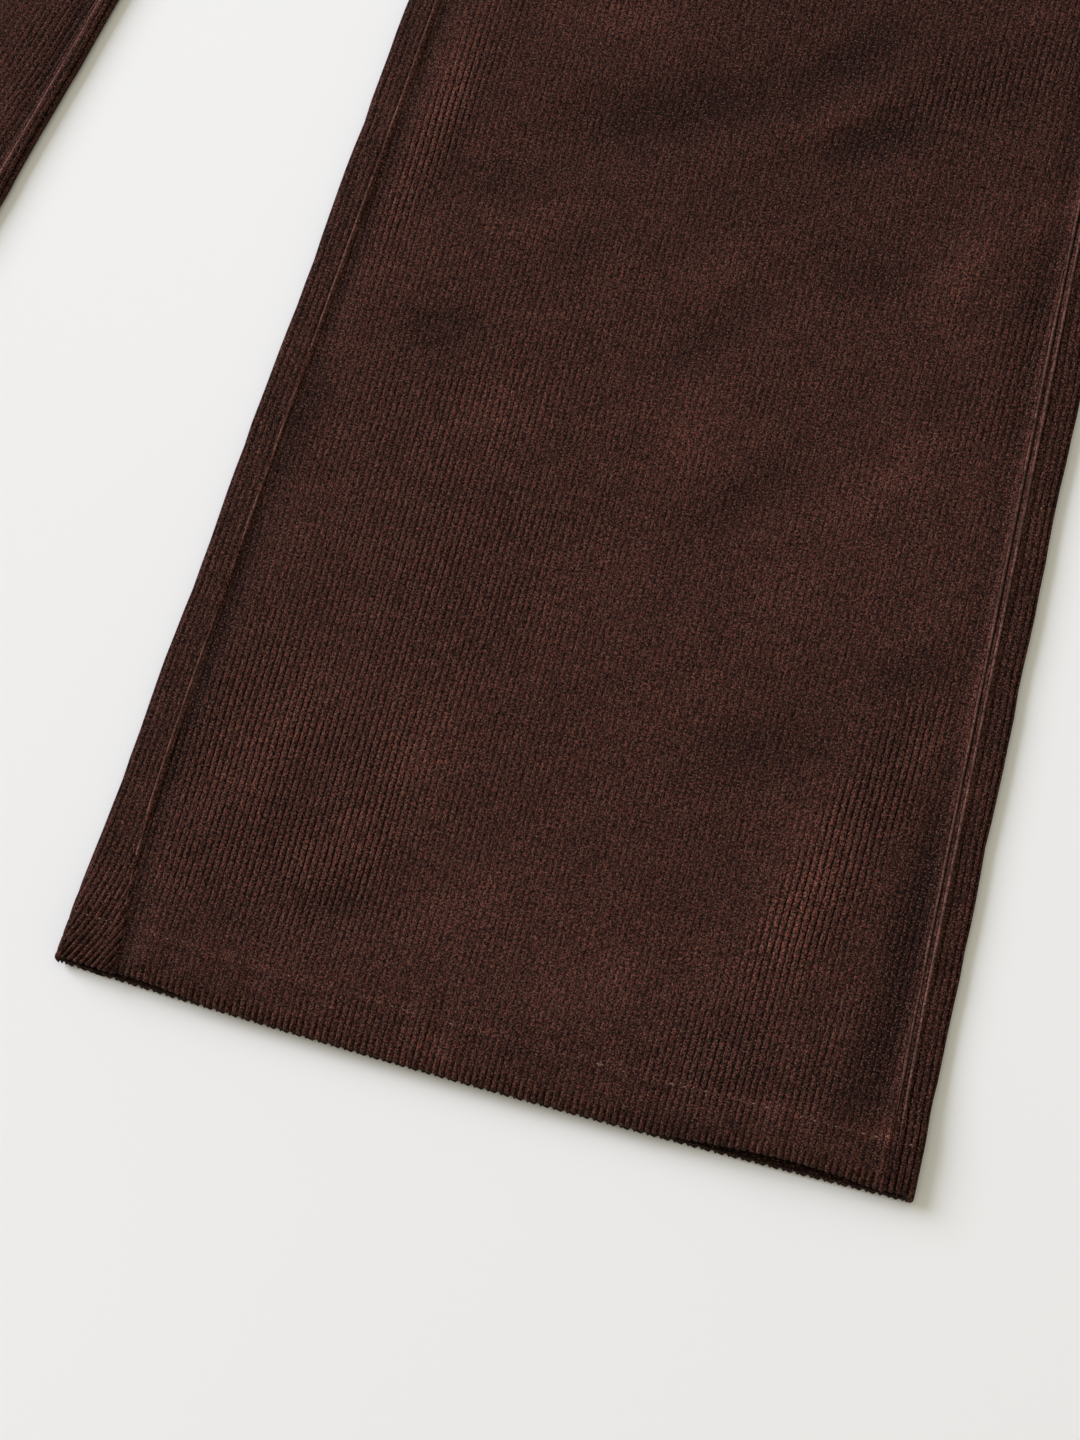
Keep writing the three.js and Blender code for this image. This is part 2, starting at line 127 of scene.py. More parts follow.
# Painted light and shade in patches of the left leg, where its folds and nap look lighter or
# darker: centre s and w, turn from the grain in degrees, half length, half width, change of tone.
NAP_LIGHT_AND_SHADE = (
    (252, -84, 8, 60, 9, 0.38),
    (293, -44, 80, 30, 12, 0.22),
    (232, -47, 60, 20, 7, 0.22),
    (240, -62, 80, 26, 9, -0.30),
    (224, -37, 45, 16, 6, -0.20),
    (272, -18, 66, 44, 13, -0.42),
    (296, 24, 40, 26, 9, -0.40),
    (275, 37, 60, 22, 9, -0.50),
    (280, 26, 48, 34, 4, 0.30),
    (196, -66, 75, 20, 11, -0.36),
    (176, -44, 50, 22, 15, 0.24),
    (208, 6, 42, 26, 9, -0.32),
    (232, 4, 50, 20, 10, 0.16),
    (238, 44, 80, 20, 12, -0.26),
    (244, 70, 20, 26, 10, 0.28),
    (266, 90, 45, 16, 8, 0.24),
    (240, 88, 5, 16, 6, -0.24),
    (182, 62, 40, 24, 9, 0.22),
    (184, 10, 20, 24, 12, 0.18),
    (170, 28, 42, 28, 8, -0.26),
    (210, 74, 60, 14, 10, -0.20),
    (134, 83, 50, 18, 9, -0.36),
    (104, 50, 62, 34, 14, -0.32),
    (148, 46, 80, 16, 12, 0.14),
    (76, -40, 12, 50, 18, 0.18),
    (70, -80, 30, 36, 16, 0.20),
    (48, -56, 60, 20, 12, 0.20),
    (44, -16, 60, 24, 12, 0.20),
    (36, -50, 78, 16, 6, -0.30),
    (24, -74, 80, 18, 7, -0.22),
    (32, 24, 50, 22, 12, 0.20),
    (68, 72, 8, 42, 16, 0.46),
    (122, 96, 20, 26, 8, 0.28),
    (13, 72, 85, 26, 7, 0.20),
    (9, -12, 85, 16, 8, 0.20),
    (30, 98, 10, 26, 9, -0.46),
    (70, 101, 0, 52, 12, -0.42),
    (300, 40, 60, 150, 95, -0.20),
    (90, -60, 0, 150, 90, 0.08),
    (4, 52, 88, 30, 6, -0.30),
    (5, -84, 88, 40, 5, -0.22),
    (16, 108, 80, 10, 6, 0.40),
    (162, -94, 5, 26, 6, -0.40),
    (100, -100, 6, 70, 6, -0.22),
)
# Places where the wales stand out clearly, deeper and with more painted groove shade, the same way.
CLEAR = (
    (248, -82, 12, 62, 12, 1.0),
    (62, -88, 0, 60, 26, 1.1),
    (54, -56, -10, 46, 30, 1.0),
    (130, -50, -4, 130, 62, 0.55),
    (80, 78, 16, 74, 15, 1.3),
    (20, 62, 85, 34, 22, 0.8),
    (8, -20, 88, 60, 12, 0.5),
    (30, 88, 0, 34, 12, 0.5),
    (60, 103, 0, 60, 12, 0.5),
    (296, 62, 60, 50, 18, 0.7),
    (226, 92, 10, 44, 14, 0.6),
    (5, -112, 0, 34, 16, 1.0),
)
SEEN_FADE = (300, 350)
FLY_ROWS = ((38.0, 832.0), (32.0, 839.0))  # each row's distance out and lowest height
FLY_CURVE = 34.0
HOLE_OFF = 1.75  # from the button's middle to each of its holes, along and across
ROW_RADIUS = 0.24
ROW_SHARE = 0.78
RIDGE = 0.36  # a seam ridge's radius
HEM_STITCH = 14.4
BAND_STITCH = 2.6
FLY_LAP = 5.0
FLY_LAP_FADE = (826, 846)
FLY_LAP_RISE = (-26, -6)
FLY = {"flat": 15, "fade": 48, "bottom": 815, "full": 850, "height": 2.7}

# ---- Camera ----

LOOK_AT = Vector((156.0, -413.8, 0)) * MM
PICTURE_TURN = math.radians(22.65)  # the picture's right, from +X
TILT = math.radians(12.18)
TILT_TOWARDS = math.radians(-56.1)  # where the camera leans, from the picture's right
DISTANCE = 0.7527
LENS = 70


def linked(name, data):
    """A new object for this data, in the scene."""
    made = bpy.data.objects.new(name, data)
    bpy.context.scene.collection.objects.link(made)
    return made


def in_picture(angle):
    """The level direction at this angle from the picture's right."""
    return Vector((math.cos(PICTURE_TURN + angle), math.sin(PICTURE_TURN + angle), 0))


def make_camera():
    data = bpy.data.cameras.new("camera")
    data.lens = LENS
    data.sensor_width = 36
    camera = linked("camera", data)
    back = in_picture(TILT_TOWARDS) * math.sin(TILT) + Vector((0, 0, math.cos(TILT)))
    right = in_picture(0)
    right = (right - right.dot(back) * back).normalized()
    turn = Matrix((right, back.cross(right), back)).transposed()
    camera.matrix_world = Matrix.Translation(LOOK_AT + DISTANCE * back) @ turn.to_4x4()
    bpy.context.scene.camera = camera


make_camera()

# ---- The laid leg's form ----


def smooth(x, low, high):
    t = np.clip((x - low) / (high - low), 0, 1)
    return t * t * (3 - 2 * t)


def mix(a, b, t):
    return a + (b - a) * t


def bump_at(distance, width):
    return np.exp(-((distance / width) ** 2))


def section(s, column):
    """A value of the section table at height s, smooth through its rows."""
    at = np.array(SECTIONS["s"], float)
    value = np.array(SECTIONS[column], float)
    last = len(at) - 1
    n = np.arange(len(at))
    low, high = np.maximum(n - 1, 0), np.minimum(n + 1, last)
    slope = (value[high] - value[low]) / (at[high] - at[low])
    s = np.clip(s, at[0], at[-1])
    i = np.clip(np.searchsorted(at, s, "right") - 1, 0, last - 1)
    span = at[i + 1] - at[i]
    t = (s - at[i]) / span
    a, b, da, db = value[i], value[i + 1], slope[i] * span, slope[i + 1] * span
    return a + t * (da + t * (3 * (b - a) - 2 * da - db + t * (2 * (a - b) + da + db)))


def lean(s):
    return GRAIN_LEAN - np.maximum(0, s - BEND_START) / BEND_RADIUS


straight_rise = BEND_START * math.cos(GRAIN_LEAN)
waist_rise = straight_rise + BEND_RADIUS * math.sin(GRAIN_LEAN)
HEM_CENTRE_Y = (HEM_WIDTH / 2 * math.sin(GRAIN_LEAN) - waist_rise) / 2


def grain(s):
    """The grain line's point at height s, on the +X leg."""
    straight = np.minimum(s, BEND_START)
    bent = s > BEND_START
    x = HEM_CENTRE_X - straight * math.sin(GRAIN_LEAN)
    y = HEM_CENTRE_Y + straight * math.cos(GRAIN_LEAN)
    x = x - np.where(bent, BEND_RADIUS * (np.cos(lean(s)) - math.cos(GRAIN_LEAN)), 0)
    y = y + np.where(bent, BEND_RADIUS * (math.sin(GRAIN_LEAN) - np.sin(lean(s))), 0)
    return x, y


def plan(s, w, side):
    x, y = grain(s)
    return side * (x + w * np.cos(lean(s))), y + w * np.sin(lean(s))


def inner_edge(s):
    """The inner fold's w: the leaning inseam line, rounded at the crotch into the centre line."""
    x, y = grain(s)
    across_x, across_y = np.cos(lean(s)), np.sin(lean(s))
    hem_x, hem_y = plan(0.0, -HEM_WIDTH / 2, 1)
    k = math.tan(INSEAM_LEAN)
    on_seam = (hem_x - k * (y - hem_y) - x) / (across_x + k * across_y)
    on_centre = (GAP / 2 - x) / across_x
    near = np.maximum(0, 1 - np.abs(on_seam - on_centre) / CROTCH_ROUND)
    return np.maximum(on_seam, on_centre) + near * near * CROTCH_ROUND / 4


def wall_at(s):
    return mix(HEM_WALL, CLOTH, smooth(s, HEM_DEPTH, HEM_DEPTH + 3))


def lenses(table, s, w):
    """The sum of soft lenses in a table, each nothing beyond its length and width."""
    total = np.zeros(np.broadcast(s, w).shape)
    for at_s, at_w, turn, length, width, height in table:
        c, d = math.cos(math.radians(turn)), math.sin(math.radians(turn))
        along = ((s - at_s) * c + (w - at_w) * d) / length
        across = ((w - at_w) * c - (s - at_s) * d) / width
        total += height * np.maximum(0, 1 - along**2) ** 2 * np.maximum(0, 1 - across**2) ** 2
    return total


def top(s, w, side):
    """The top of the laid leg, with its large creases, as the solids have it."""
    hemmed = 1 - smooth(s, HEM_DEPTH, HEM_DEPTH + 28)
    flat = 2 * mix(CLOTH, HEM_WALL, hemmed) + AIR
    soft = lenses(CREASES[side], s, w)
    edge = np.minimum(w - inner_edge(s), section(s, "outer") - w)
    inside = np.where(s > CROTCH, 1.0, smooth(edge, 0, 22))
    lift = np.maximum(0, soft) * mix(0.35, 1, inside)
    x = np.abs(plan(s, w, 1)[0])
    fly = smooth(s, FLY["bottom"], FLY["full"]) * (1 - smooth(x, FLY["flat"], FLY["fade"]))
    return flat + lift + np.minimum(0, soft) * inside + FLY["height"] * fly


def dip(s, x):
    """How much lower than the back the front is cut at the waist."""
    half = plan(WAIST_SEAM, section(WAIST_SEAM, "outer"), 1)[0]
    share = np.clip(np.abs(x) / half, 0, 1)
    return FRONT_DIP * (1 - share**2) * smooth(s, 860, WAIST_SEAM)


def waves(seed, count, shortest, longest):
    """Smooth noise of about -1 to 1: a sum of seeded sine waves."""
    random = np.random.default_rng(seed)
    angle = random.uniform(0, math.pi, count)
    length = random.uniform(shortest, longest, count)
    start = random.uniform(0, 2 * math.pi, count)

    def height(x, y):
        total = 0
        for a, wave, phase in zip(angle, length, start):
            total = total + np.sin(2 * math.pi * (x * math.cos(a) + y * math.sin(a)) / wave + phase)
        return total / math.sqrt(count)

    return height


slow_ripple = waves(3, 9, 34, 70)
quick_ripple = waves(5, 11, 13, 26)
pucker_ripple = waves(8, 7, 8, 15)
wale_wander = waves(11, 8, 25, 60)
wale_depth = waves(13, 9, 16, 40)
nap_drift = waves(21, 12, 34, 95)
clear_drift = waves(23, 10, 40, 110)
fold_drift = waves(27, 8, 30, 75)


def seen(s, side):
    """1 on the part of the left leg whose painted light and shade and clearness are listed."""
    return (1 - smooth(s, *SEEN_FADE)) * (side > 0)


def tone(s, w, side):
    """Painted light and shade as a logarithm: of the listed patches, elsewhere of the creases."""
    # Painted light and shade of the creases: ridges lighter, troughs darker, plus random drift.
    loose = 0.11 * nap_drift(s, w) + 0.2 * lenses(CREASES[side], s, w) * smooth(s, 20, 60)
    return mix(loose, 1.5 * lenses(NAP_LIGHT_AND_SHADE, s, w) + 0.05 * nap_drift(s, w), seen(s, side))


def clearness(s, w, side):
    """How clearly the wales stand apart, 0 to 1: it deepens the grooves and their painted shade."""
    loose = 0.4 + 0.3 * clear_drift(s, w * 1.4)
    return np.clip(mix(loose, 0.22 + lenses(CLEAR, s, w), seen(s, side)), 0, 1)


# ---- Relief of the cloth ----

GROOVE = 0.46
INSIDE_PAINTED_SHADE = 1.5  # painted shade on the cloth's inner face: how much darker it is made, as a logarithm
HEM_NOTCH = 2.7
PHASES = (0.0, 0.22, 0.5, 0.78)


def wale_relief(wales, s, clear):
    """How far below its crest the pile lies, at a wale count across and a height s along."""
    phase = wales - np.floor(wales)
    off = np.minimum(phase, 1 - phase)
    groove = 1 - smooth(off, 0, 0.3)
    at_edge = 1 - smooth(s, 1.5, 5)
    depth = GROOVE * (mix(0.42, 1.1, clear) * (1 - at_edge) + HEM_NOTCH * at_edge)
    varied = depth * (1 + 0.16 * wale_depth(s, wales * WALE))
    return -varied * (groove + 0.18 * (1 - 2 * off) ** 2) / 1.18


def hem_relief(s, w):
    """The hem's topstitch sinks into the cloth, and the band below it puckers."""
    sunk = -0.5 * bump_at(s - HEM_DEPTH, 1.7) * (0.8 + 0.3 * pucker_ripple(w, 40.0))
    puckers = 0.32 * pucker_ripple(w, s * 0.25) * bump_at(s - 9, 9)
    return sunk + puckers


def bow(s, w):
    """The hem hangs a little lower between its corners."""
    return -2.0 * (1 - (w / (HEM_WIDTH / 2)) ** 2) * (1 - smooth(s, 0, 70))


def front_height(s, w, side, start, end):
    """The front's crests: its large form, small ripples, hem and seams."""
    z = top(s, w, side) + 0.16 * slow_ripple(s, w) + 0.07 * quick_ripple(s, w)
    z = z + hem_relief(s, w)
    if side < 0:
        lapped = smooth(plan(s, w, side)[0], *FLY_LAP_RISE) * smooth(s, *FLY_LAP_FADE)
        z = z + (CLOTH + GAP) * lapped
    below = 1 - smooth(s, CROTCH - 60, CROTCH - 20)
    d = w - start
    z = z - below * (0.5 * bump_at(d - 1.6, 2.6) + 0.2 * bump_at(d, 9))
    d = end - w
    z = z + 0.55 * bump_at(d - 1.0, 1.0) - 0.4 * bump_at(d, 0.4) - 0.5 * bump_at(d - 5.5, 3.4)
    return z


def strip_extra(d, inner):
    """The wrapped strip stands up beside its seam, over the seam allowances; d is from the seam."""
    if inner:
        return 0.42 * bump_at(d - 2.3, 1.5) + 0.15 * bump_at(d - 5, 3) - 0.5 * bump_at(d, 1.3)
    return 0.5 * bump_at(d - 1.3, 1.0) - 0.3 * bump_at(d, 0.5) - 0.25 * bump_at(d - 3.6, 1.2)


# ---- Meshes ----


def make_object(name, points, faces, material, uv=None, bake=None, pile=None):
    """A smooth mesh piece from points in millimetres and triangles, faces out."""
    used, faces = np.unique(faces, return_inverse=True)
    faces = faces.reshape(-1, 3)
    points = points[used]
    a, b, c = (points[faces[:, k]] for k in range(3))
    if (a * np.cross(b, c)).sum() < 0:
        faces = faces[:, ::-1]
    mesh = bpy.data.meshes.new(name)
    mesh.from_pydata((points * MM).tolist(), [], faces.tolist())
    mesh.polygons.foreach_set("use_smooth", np.ones(len(mesh.polygons), bool))
    corners = np.zeros(len(mesh.loops), np.int32)
    mesh.loops.foreach_get("vertex_index", corners)
    for layer, values in (("OFBake", bake), ("Cloth", uv)):
        if values is not None:
            made = mesh.uv_layers.new(name=layer)
            made.uv.foreach_set("vector", values[used][corners].astype(np.float32).ravel())
    if pile is not None:
        layer = mesh.attributes.new("pile", "FLOAT_VECTOR", "POINT")
        layer.data.foreach_set("vector", pile[used].astype(np.float32).ravel())
    mesh.update()
    mesh.materials.append(material)
    return linked(name, mesh)


def quads(a, b, c, d):
    """Two triangles for each quad, leaving out those that have shrunk to nothing."""
    found = np.concatenate([np.stack([a, b, c], -1).reshape(-1, 3),
                            np.stack([a, c, d], -1).reshape(-1, 3)])
    real = (found[:, 0] != found[:, 1]) & (found[:, 1] != found[:, 2])
    return found[real & (found[:, 0] != found[:, 2])]


def shell(name, outer, inner, uv, pile, material, first=None, last=None, welded=False,
          joints=(), coarse=8):
    """A closed wall from two grids of points, (rows, columns, 3).

    Columns before first and after last, given for each row, are drawn together at the edge.
    joints are (from, to, low, high): columns from..to that are drawn together outside low..high.
    welded says that the two grids share their first row. The inner one is coarser across.
    pile is (painted light and shade, clearness) for each point; the inner face gets painted shade.
    """
    rows, columns = outer.shape[:2]
    first = np.zeros(rows, int) if first is None else first
    last = np.full(rows, columns - 1) if last is None else last
    k = np.arange(columns)[None, :] + np.zeros((rows, 1), int)
    for start, stop, low, high in joints:
        span = (k >= start) & (k <= stop)
        k = np.where(span & (k < low[:, None]), start - 1, k)
        k = np.where(span & (k > high[:, None]), stop + 1, k)
    k = np.clip(k, first[:, None], last[:, None])
    j = np.arange(rows)[:, None]
    at_outer = j * columns + k
    step = np.arange(columns) // coarse * coarse
    grouped = np.take_along_axis(k, step[None, :] + np.zeros((rows, 1), int), 1)
    grouped = np.where(k >= last[:, None], last[:, None], grouped)
    at_inner = rows * columns + j * columns + grouped
    if welded:
        at_inner[0] = at_outer[0]

    o, i = at_outer, at_inner
    faces = [
        quads(o[:-1, :-1], o[:-1, 1:], o[1:, 1:], o[1:, :-1]),
        quads(i[:-1, :-1], i[1:, :-1], i[1:, 1:], i[:-1, 1:]),
        quads(o[:-1, 0], o[1:, 0], i[1:, 0], i[:-1, 0]),
        quads(o[1:, -1], o[:-1, -1], i[:-1, -1], i[1:, -1]),
        quads(o[-1, :-1], o[-1, 1:], i[-1, 1:], i[-1, :-1]),
        quads(o[0, 1:], o[0, :-1], i[0, :-1], i[0, 1:]),
    ]
    points = np.concatenate([outer.reshape(-1, 3), inner.reshape(-1, 3)])
    across = np.broadcast_to(np.linspace(0.01, 0.49, columns), (rows, columns))
    run = np.linalg.norm(np.diff(outer, axis=0), axis=2).max(1)
    up = np.concatenate([[0], np.cumsum(run)]) / run.sum()
    up = np.broadcast_to(0.01 + 0.98 * up[:, None], (rows, columns))
    bake = np.concatenate([np.stack([across + shift, up], -1).reshape(-1, 2) for shift in (0, 0.5)])
    both = np.concatenate([uv.reshape(-1, 2)] * 2)
    pile = np.stack(np.broadcast_arrays(*pile, 0 * outer[..., 0]), -1).reshape(-1, 3)
    # The inner face: painted shade lowers its tone, and its wales show less clearly.
    pile = np.concatenate([pile, pile * (1, 0.3, 1) - (INSIDE_PAINTED_SHADE, 0, 0)])
    return make_object(name, points, np.concatenate(faces), material, both, bake, pile)


def leg_rows(*spans):
    """Heights from a list of (from, to, step)."""
    found = [np.arange(a, b, step) for a, b, step in spans]
    return np.concatenate([*found, [spans[-1][1]]])


HEM_ROUND = HEM_WALL / 2
HEM_TURNS = np.radians([0, 22, 45, 67])
FINE = leg_rows((HEM_ROUND, 13, 1.7), (13, 19, 1.0), (19, 31, 2.0), (31, 331, 4.0),
                (331, CROTCH - 30, 9.0), (CROTCH - 30, CROTCH + 10, 4.0),
                (CROTCH + 10, WAIST_SEAM - GAP, 9.0))
PLAIN = leg_rows((HEM_ROUND, 13, 2.4), (13, 19, 1.5), (19, 31, 4.0), (31, 331, 7.0),
                 (331, CROTCH - 30, 14.0), (CROTCH - 30, CROTCH + 10, 5.0),
                 (CROTCH + 10, WAIST_SEAM - GAP, 14.0))


def rolled(rows):
    """(heights, turn of the hem's fold) for the rows, with the fold's own rows first."""
    s = np.concatenate([HEM_ROUND * (1 - np.cos(HEM_TURNS)), rows])
    turn = np.concatenate([HEM_TURNS, np.full(len(rows), math.pi / 2)])
    return s[:, None], turn[:, None]


def placed(s, w, z, nw, nz, turn, deep, side, extra_s):
    """Points at a depth inside the cloth's outer face, round the hem's fold where it turns."""
    sunk = HEM_ROUND * (1 - np.sin(turn))
    inward = sunk - np.sin(turn) * deep
    along = s + extra_s - np.cos(turn) * deep
    x, y = plan(along, w - nw * inward, side)
    return np.stack(np.broadcast_arrays(x, y, z - nz * inward), -1)


def under_side(s, w, z, nw, nz, turn, side, extra_s):
    """The cloth's inner face: its other half of the hem's fold, then a wall's thickness in."""
    rolled_in = turn < math.pi / 2 - 1e-6
    inward = np.where(rolled_in, HEM_ROUND * (1 + np.sin(turn)), wall_at(s))
    behind = 1.3 * GROOVE * np.cos(turn)
    x, y = plan(s + extra_s + behind, w - nw * inward, side)
    return np.stack(np.broadcast_arrays(x, y, z - nz * inward), -1)


def wale_columns(low, high, phases=PHASES):
    """Distances across that follow each wale, from one edge to the other."""
    count = np.arange(math.floor(low / WALE) - 1, math.ceil(high / WALE) + 1)
    return ((count[:, None] + np.array(phases)[None, :]) * WALE).ravel()


def wrap(s, key, side):
    """How far inside its fold a seam lies. The right leg's inseam lies nearer its fold."""
    if key == "in" and side < 0:
        return section(s, "wrap_in") * mix(1, 0.55, smooth(s, 60, 200) * (1 - smooth(s, 500, 640)))
    return section(s, "wrap_" + key)


def front_edges(s, side):
    """The w of a front's two edges. The -X front laps over the other one down the fly."""
    over = FLY_LAP * smooth(s, *FLY_LAP_FADE) * (side < 0)
    start = inner_edge(s) + np.where(s > CROTCH, -over, wrap(s, "in", side))
    return start, section(s, "outer") - wrap(s, "out", side)


def front_panel(name, side, material):
    s, turn = rolled(FINE)
    start, end = front_edges(s, side)
    columns = wale_columns(start.min(), end.max())[None, :]
    wander = 0.1 * wale_wander(s, columns * 0.4)
    w = np.clip(columns + wander, start, end)
    first = (columns + wander <= start).sum(1) - 1
    last = (columns + wander < end).sum(1)
    x = plan(s, w, side)[0]
    back = 0.5 + np.maximum(0, top(0.0, w, side) - 2 * HEM_WALL - AIR)
    extra_s = back * (1 - smooth(s, 0, 20)) - dip(s, x) + bow(s, w)
    z = front_height(s + extra_s, w, side, start, end)
    clear = clearness(s, w, side)
    relief = wale_relief(columns / WALE, s, clear)
    flat = np.zeros(w.shape)
    outer = placed(s, w, z, flat, flat + 1, turn, relief, side, extra_s)
    inner = under_side(s, w, z, flat, flat + 1, turn, side, extra_s)
    uv = np.stack([w - wander, s + UV_SHIFT[side] + flat], -1)
    # Painted shade in the valley beside the inseam; a painted highlight on the outseam's ridge.
    shade = tone(s, w, side) - 0.55 * bump_at(w - start - 1.2, 2.6) * (s < CROTCH)
    shade = shade + 0.36 * bump_at(end - w - 1.0, 0.8) * smooth(s, 12, 40)
    # Painted shade in the outseam's inner dip and under the hem's stitches, highlight on their line.
    shade = shade - 0.32 * bump_at(end - w - 4.6, 2.4)
    shade = shade - 0.2 * bump_at(s - HEM_STITCH + 2.2, 1.6) + 0.2 * bump_at(s - HEM_STITCH, 0.9)
    return shell(name, outer, inner, uv, (shade, clear), material, first, last, True)


STRIP_UNDER = 9.0
FLARE = 7.5
STRIP_DEEP = {"in": 1.3, "out": 1.6}
UV_SHIFT = {1: 0.0, -1: 2000.0}


def fold_ring(s, d, fold, out, seam, side, inner):
    """The back's section near a side fold: d is the length round from its outermost line."""
    height = top(s, fold, side)
    r = height / 2
    quarter = math.pi * r / 2
    angle = np.clip(d / r, -math.pi / 2, math.pi / 2)
    beyond = np.maximum(np.abs(d) - quarter, 0)
    w = fold - out * (r - r * np.cos(angle) + beyond)
    z = r + r * np.sin(angle)
    on_top = mix(z, top(s, w, side), smooth(beyond, 0, 6))
    from_seam = np.maximum(seam - (r + beyond), 0)
    on_top = on_top + strip_extra(from_seam, inner) * smooth(d, quarter * 0.4, quarter)
    on_top = on_top + hem_relief(s, w) * smooth(beyond, 0, 4)
    z = np.where(d > 0, on_top, z)
    return w, z, out * np.cos(angle), np.sin(angle)


def back_panel(name, side, material):
    s, turn = rolled(PLAIN)
    closed = (GAP / 2 + 0.05) * smooth(s, CROTCH, CROTCH + 10)  # the two backs are sewn together
    a, b = inner_edge(s) - closed, section(s, "outer")
    ends = {}
    for key, edge, out in (("in", a, -1), ("out", b, 1)):
        drift = 0.16 * fold_drift(s, side * 400.0 + out * 150)
        drift = (drift + 0.12 * quick_ripple(s, side * 300.0 + out * 90)) * smooth(s, 4, 30)
        fold = edge + out * drift * (s < CROTCH)
        seam = wrap(s, key, side) + drift
        r = top(s, edge, side) / 2
        at_seam = math.pi * r / 2 + seam - r
        columns = wale_columns(-STRIP_UNDER, at_seam.max() + FLARE)[::-1][None, :]
        columns = columns[:, columns[0] >= -STRIP_UNDER]
        flare = FLARE * np.maximum(0, 1 - s / 30) ** 2 * (key == "in")
        d = np.minimum(columns - flare, at_seam)
        d[:, -1] = -STRIP_UNDER
        w, z, nw, nz = fold_ring(s, d, fold, out, seam, side, key == "in")
        first = (columns - flare >= at_seam).sum(1) - 1
        beside = at_seam - d
        # Painted light and shade: a highlight on the seam's ridge, and shade darkening the whole
        # strip.
        shade = 0.42 * bump_at(beside - 1.1, 0.7) * smooth(s, 10, 34) - 0.2
        corner = (1 - smooth(s, 22, 34)) * (key == "in")
        # Painted light on the inseam's strip near the hem corner.
        shade = shade + 0.3 * corner * bump_at(beside - 8, 7)
        # Part of the leg's painted light and shade, and random drift in tone.
        shade = shade + 0.3 * tone(s, w, side) + 0.08 * nap_drift(s * 2, d * 3)
        shade = shade + 0.14 * pucker_ripple(s, d * 2)
        ends[key] = {"w": w, "z": z, "nw": nw, "nz": nz, "wales": columns + 0 * s,
                     "shade": shade, "clear": 0.45 + 0.55 * smooth(at_seam - beside, 5, 1)
                     + 0.4 * (1 - smooth(s, 24, 40)) + 0.1 * (key == "out"),
                     "deep": STRIP_DEEP[key] + 0.5 * corner + 0 * d, "first": first}
    low = ends["in"]["w"][:, -1:]
    high = ends["out"]["w"][:, -1:]
    low = np.where(s > CROTCH, a, low)
    columns = wale_columns(low.min(), high.max(), (0, 0.16, 0.5, 0.84))[None, :]
    w = np.clip(columns, low, high)
    flat = np.zeros(w.shape)
    under = {"w": w, "z": flat, "nw": flat, "nz": flat - 1, "wales": columns + flat,
             "shade": 0.12 * nap_drift(s + 900, w), "clear": 0.4 + 0.3 * clear_drift(s, w + 700),
             "deep": flat + 1}
    inn, out = ends["in"], {k: v[:, ::-1] for k, v in ends["out"].items() if k != "first"}
    gone = s > CROTCH
    for key, value in (("w", a), ("z", 0), ("nw", 0), ("nz", -1)):
        inn[key] = np.where(gone, value, inn[key])
    ring = {k: np.concatenate([inn[k], under[k], out[k]], 1) for k in under}
    count_in, count_under = inn["w"].shape[1], w.shape[1]
    first = np.where(gone[:, 0], count_in - 1, inn["first"])
    last = ring["w"].shape[1] - 1 - ends["out"]["first"]
    kmin = (columns <= low).sum(1) + count_in
    kmax = (columns < high).sum(1) - 1 + count_in
    joint = (count_in, count_in + count_under - 1, kmin, kmax)
    clear = np.clip(ring["clear"], 0, 1)
    relief = wale_relief(ring["wales"] / WALE, s, clear) * ring["deep"]
    args = (s, ring["w"], ring["z"], ring["nw"], ring["nz"], turn)
    set_back = 1.3 * np.clip(ring["nz"], 0, 1) * (1 - smooth(s, 0, 20))
    extra_s = bow(s, ring["w"]) + set_back
    outer = placed(*args, relief, side, extra_s)
    inner = under_side(*args, side, extra_s)
    uv = np.stack([ring["wales"], s + UV_SHIFT[side] + 0 * ring["w"]], -1)
    uv[:, count_in:count_in + count_under, 0] += 100 * WALE
    uv[:, count_in + count_under:, 0] += 300 * WALE
    return shell(name, outer, inner, uv, (ring["shade"], clear), material, first, last, True,
                 [joint])


# ---- Materials ----


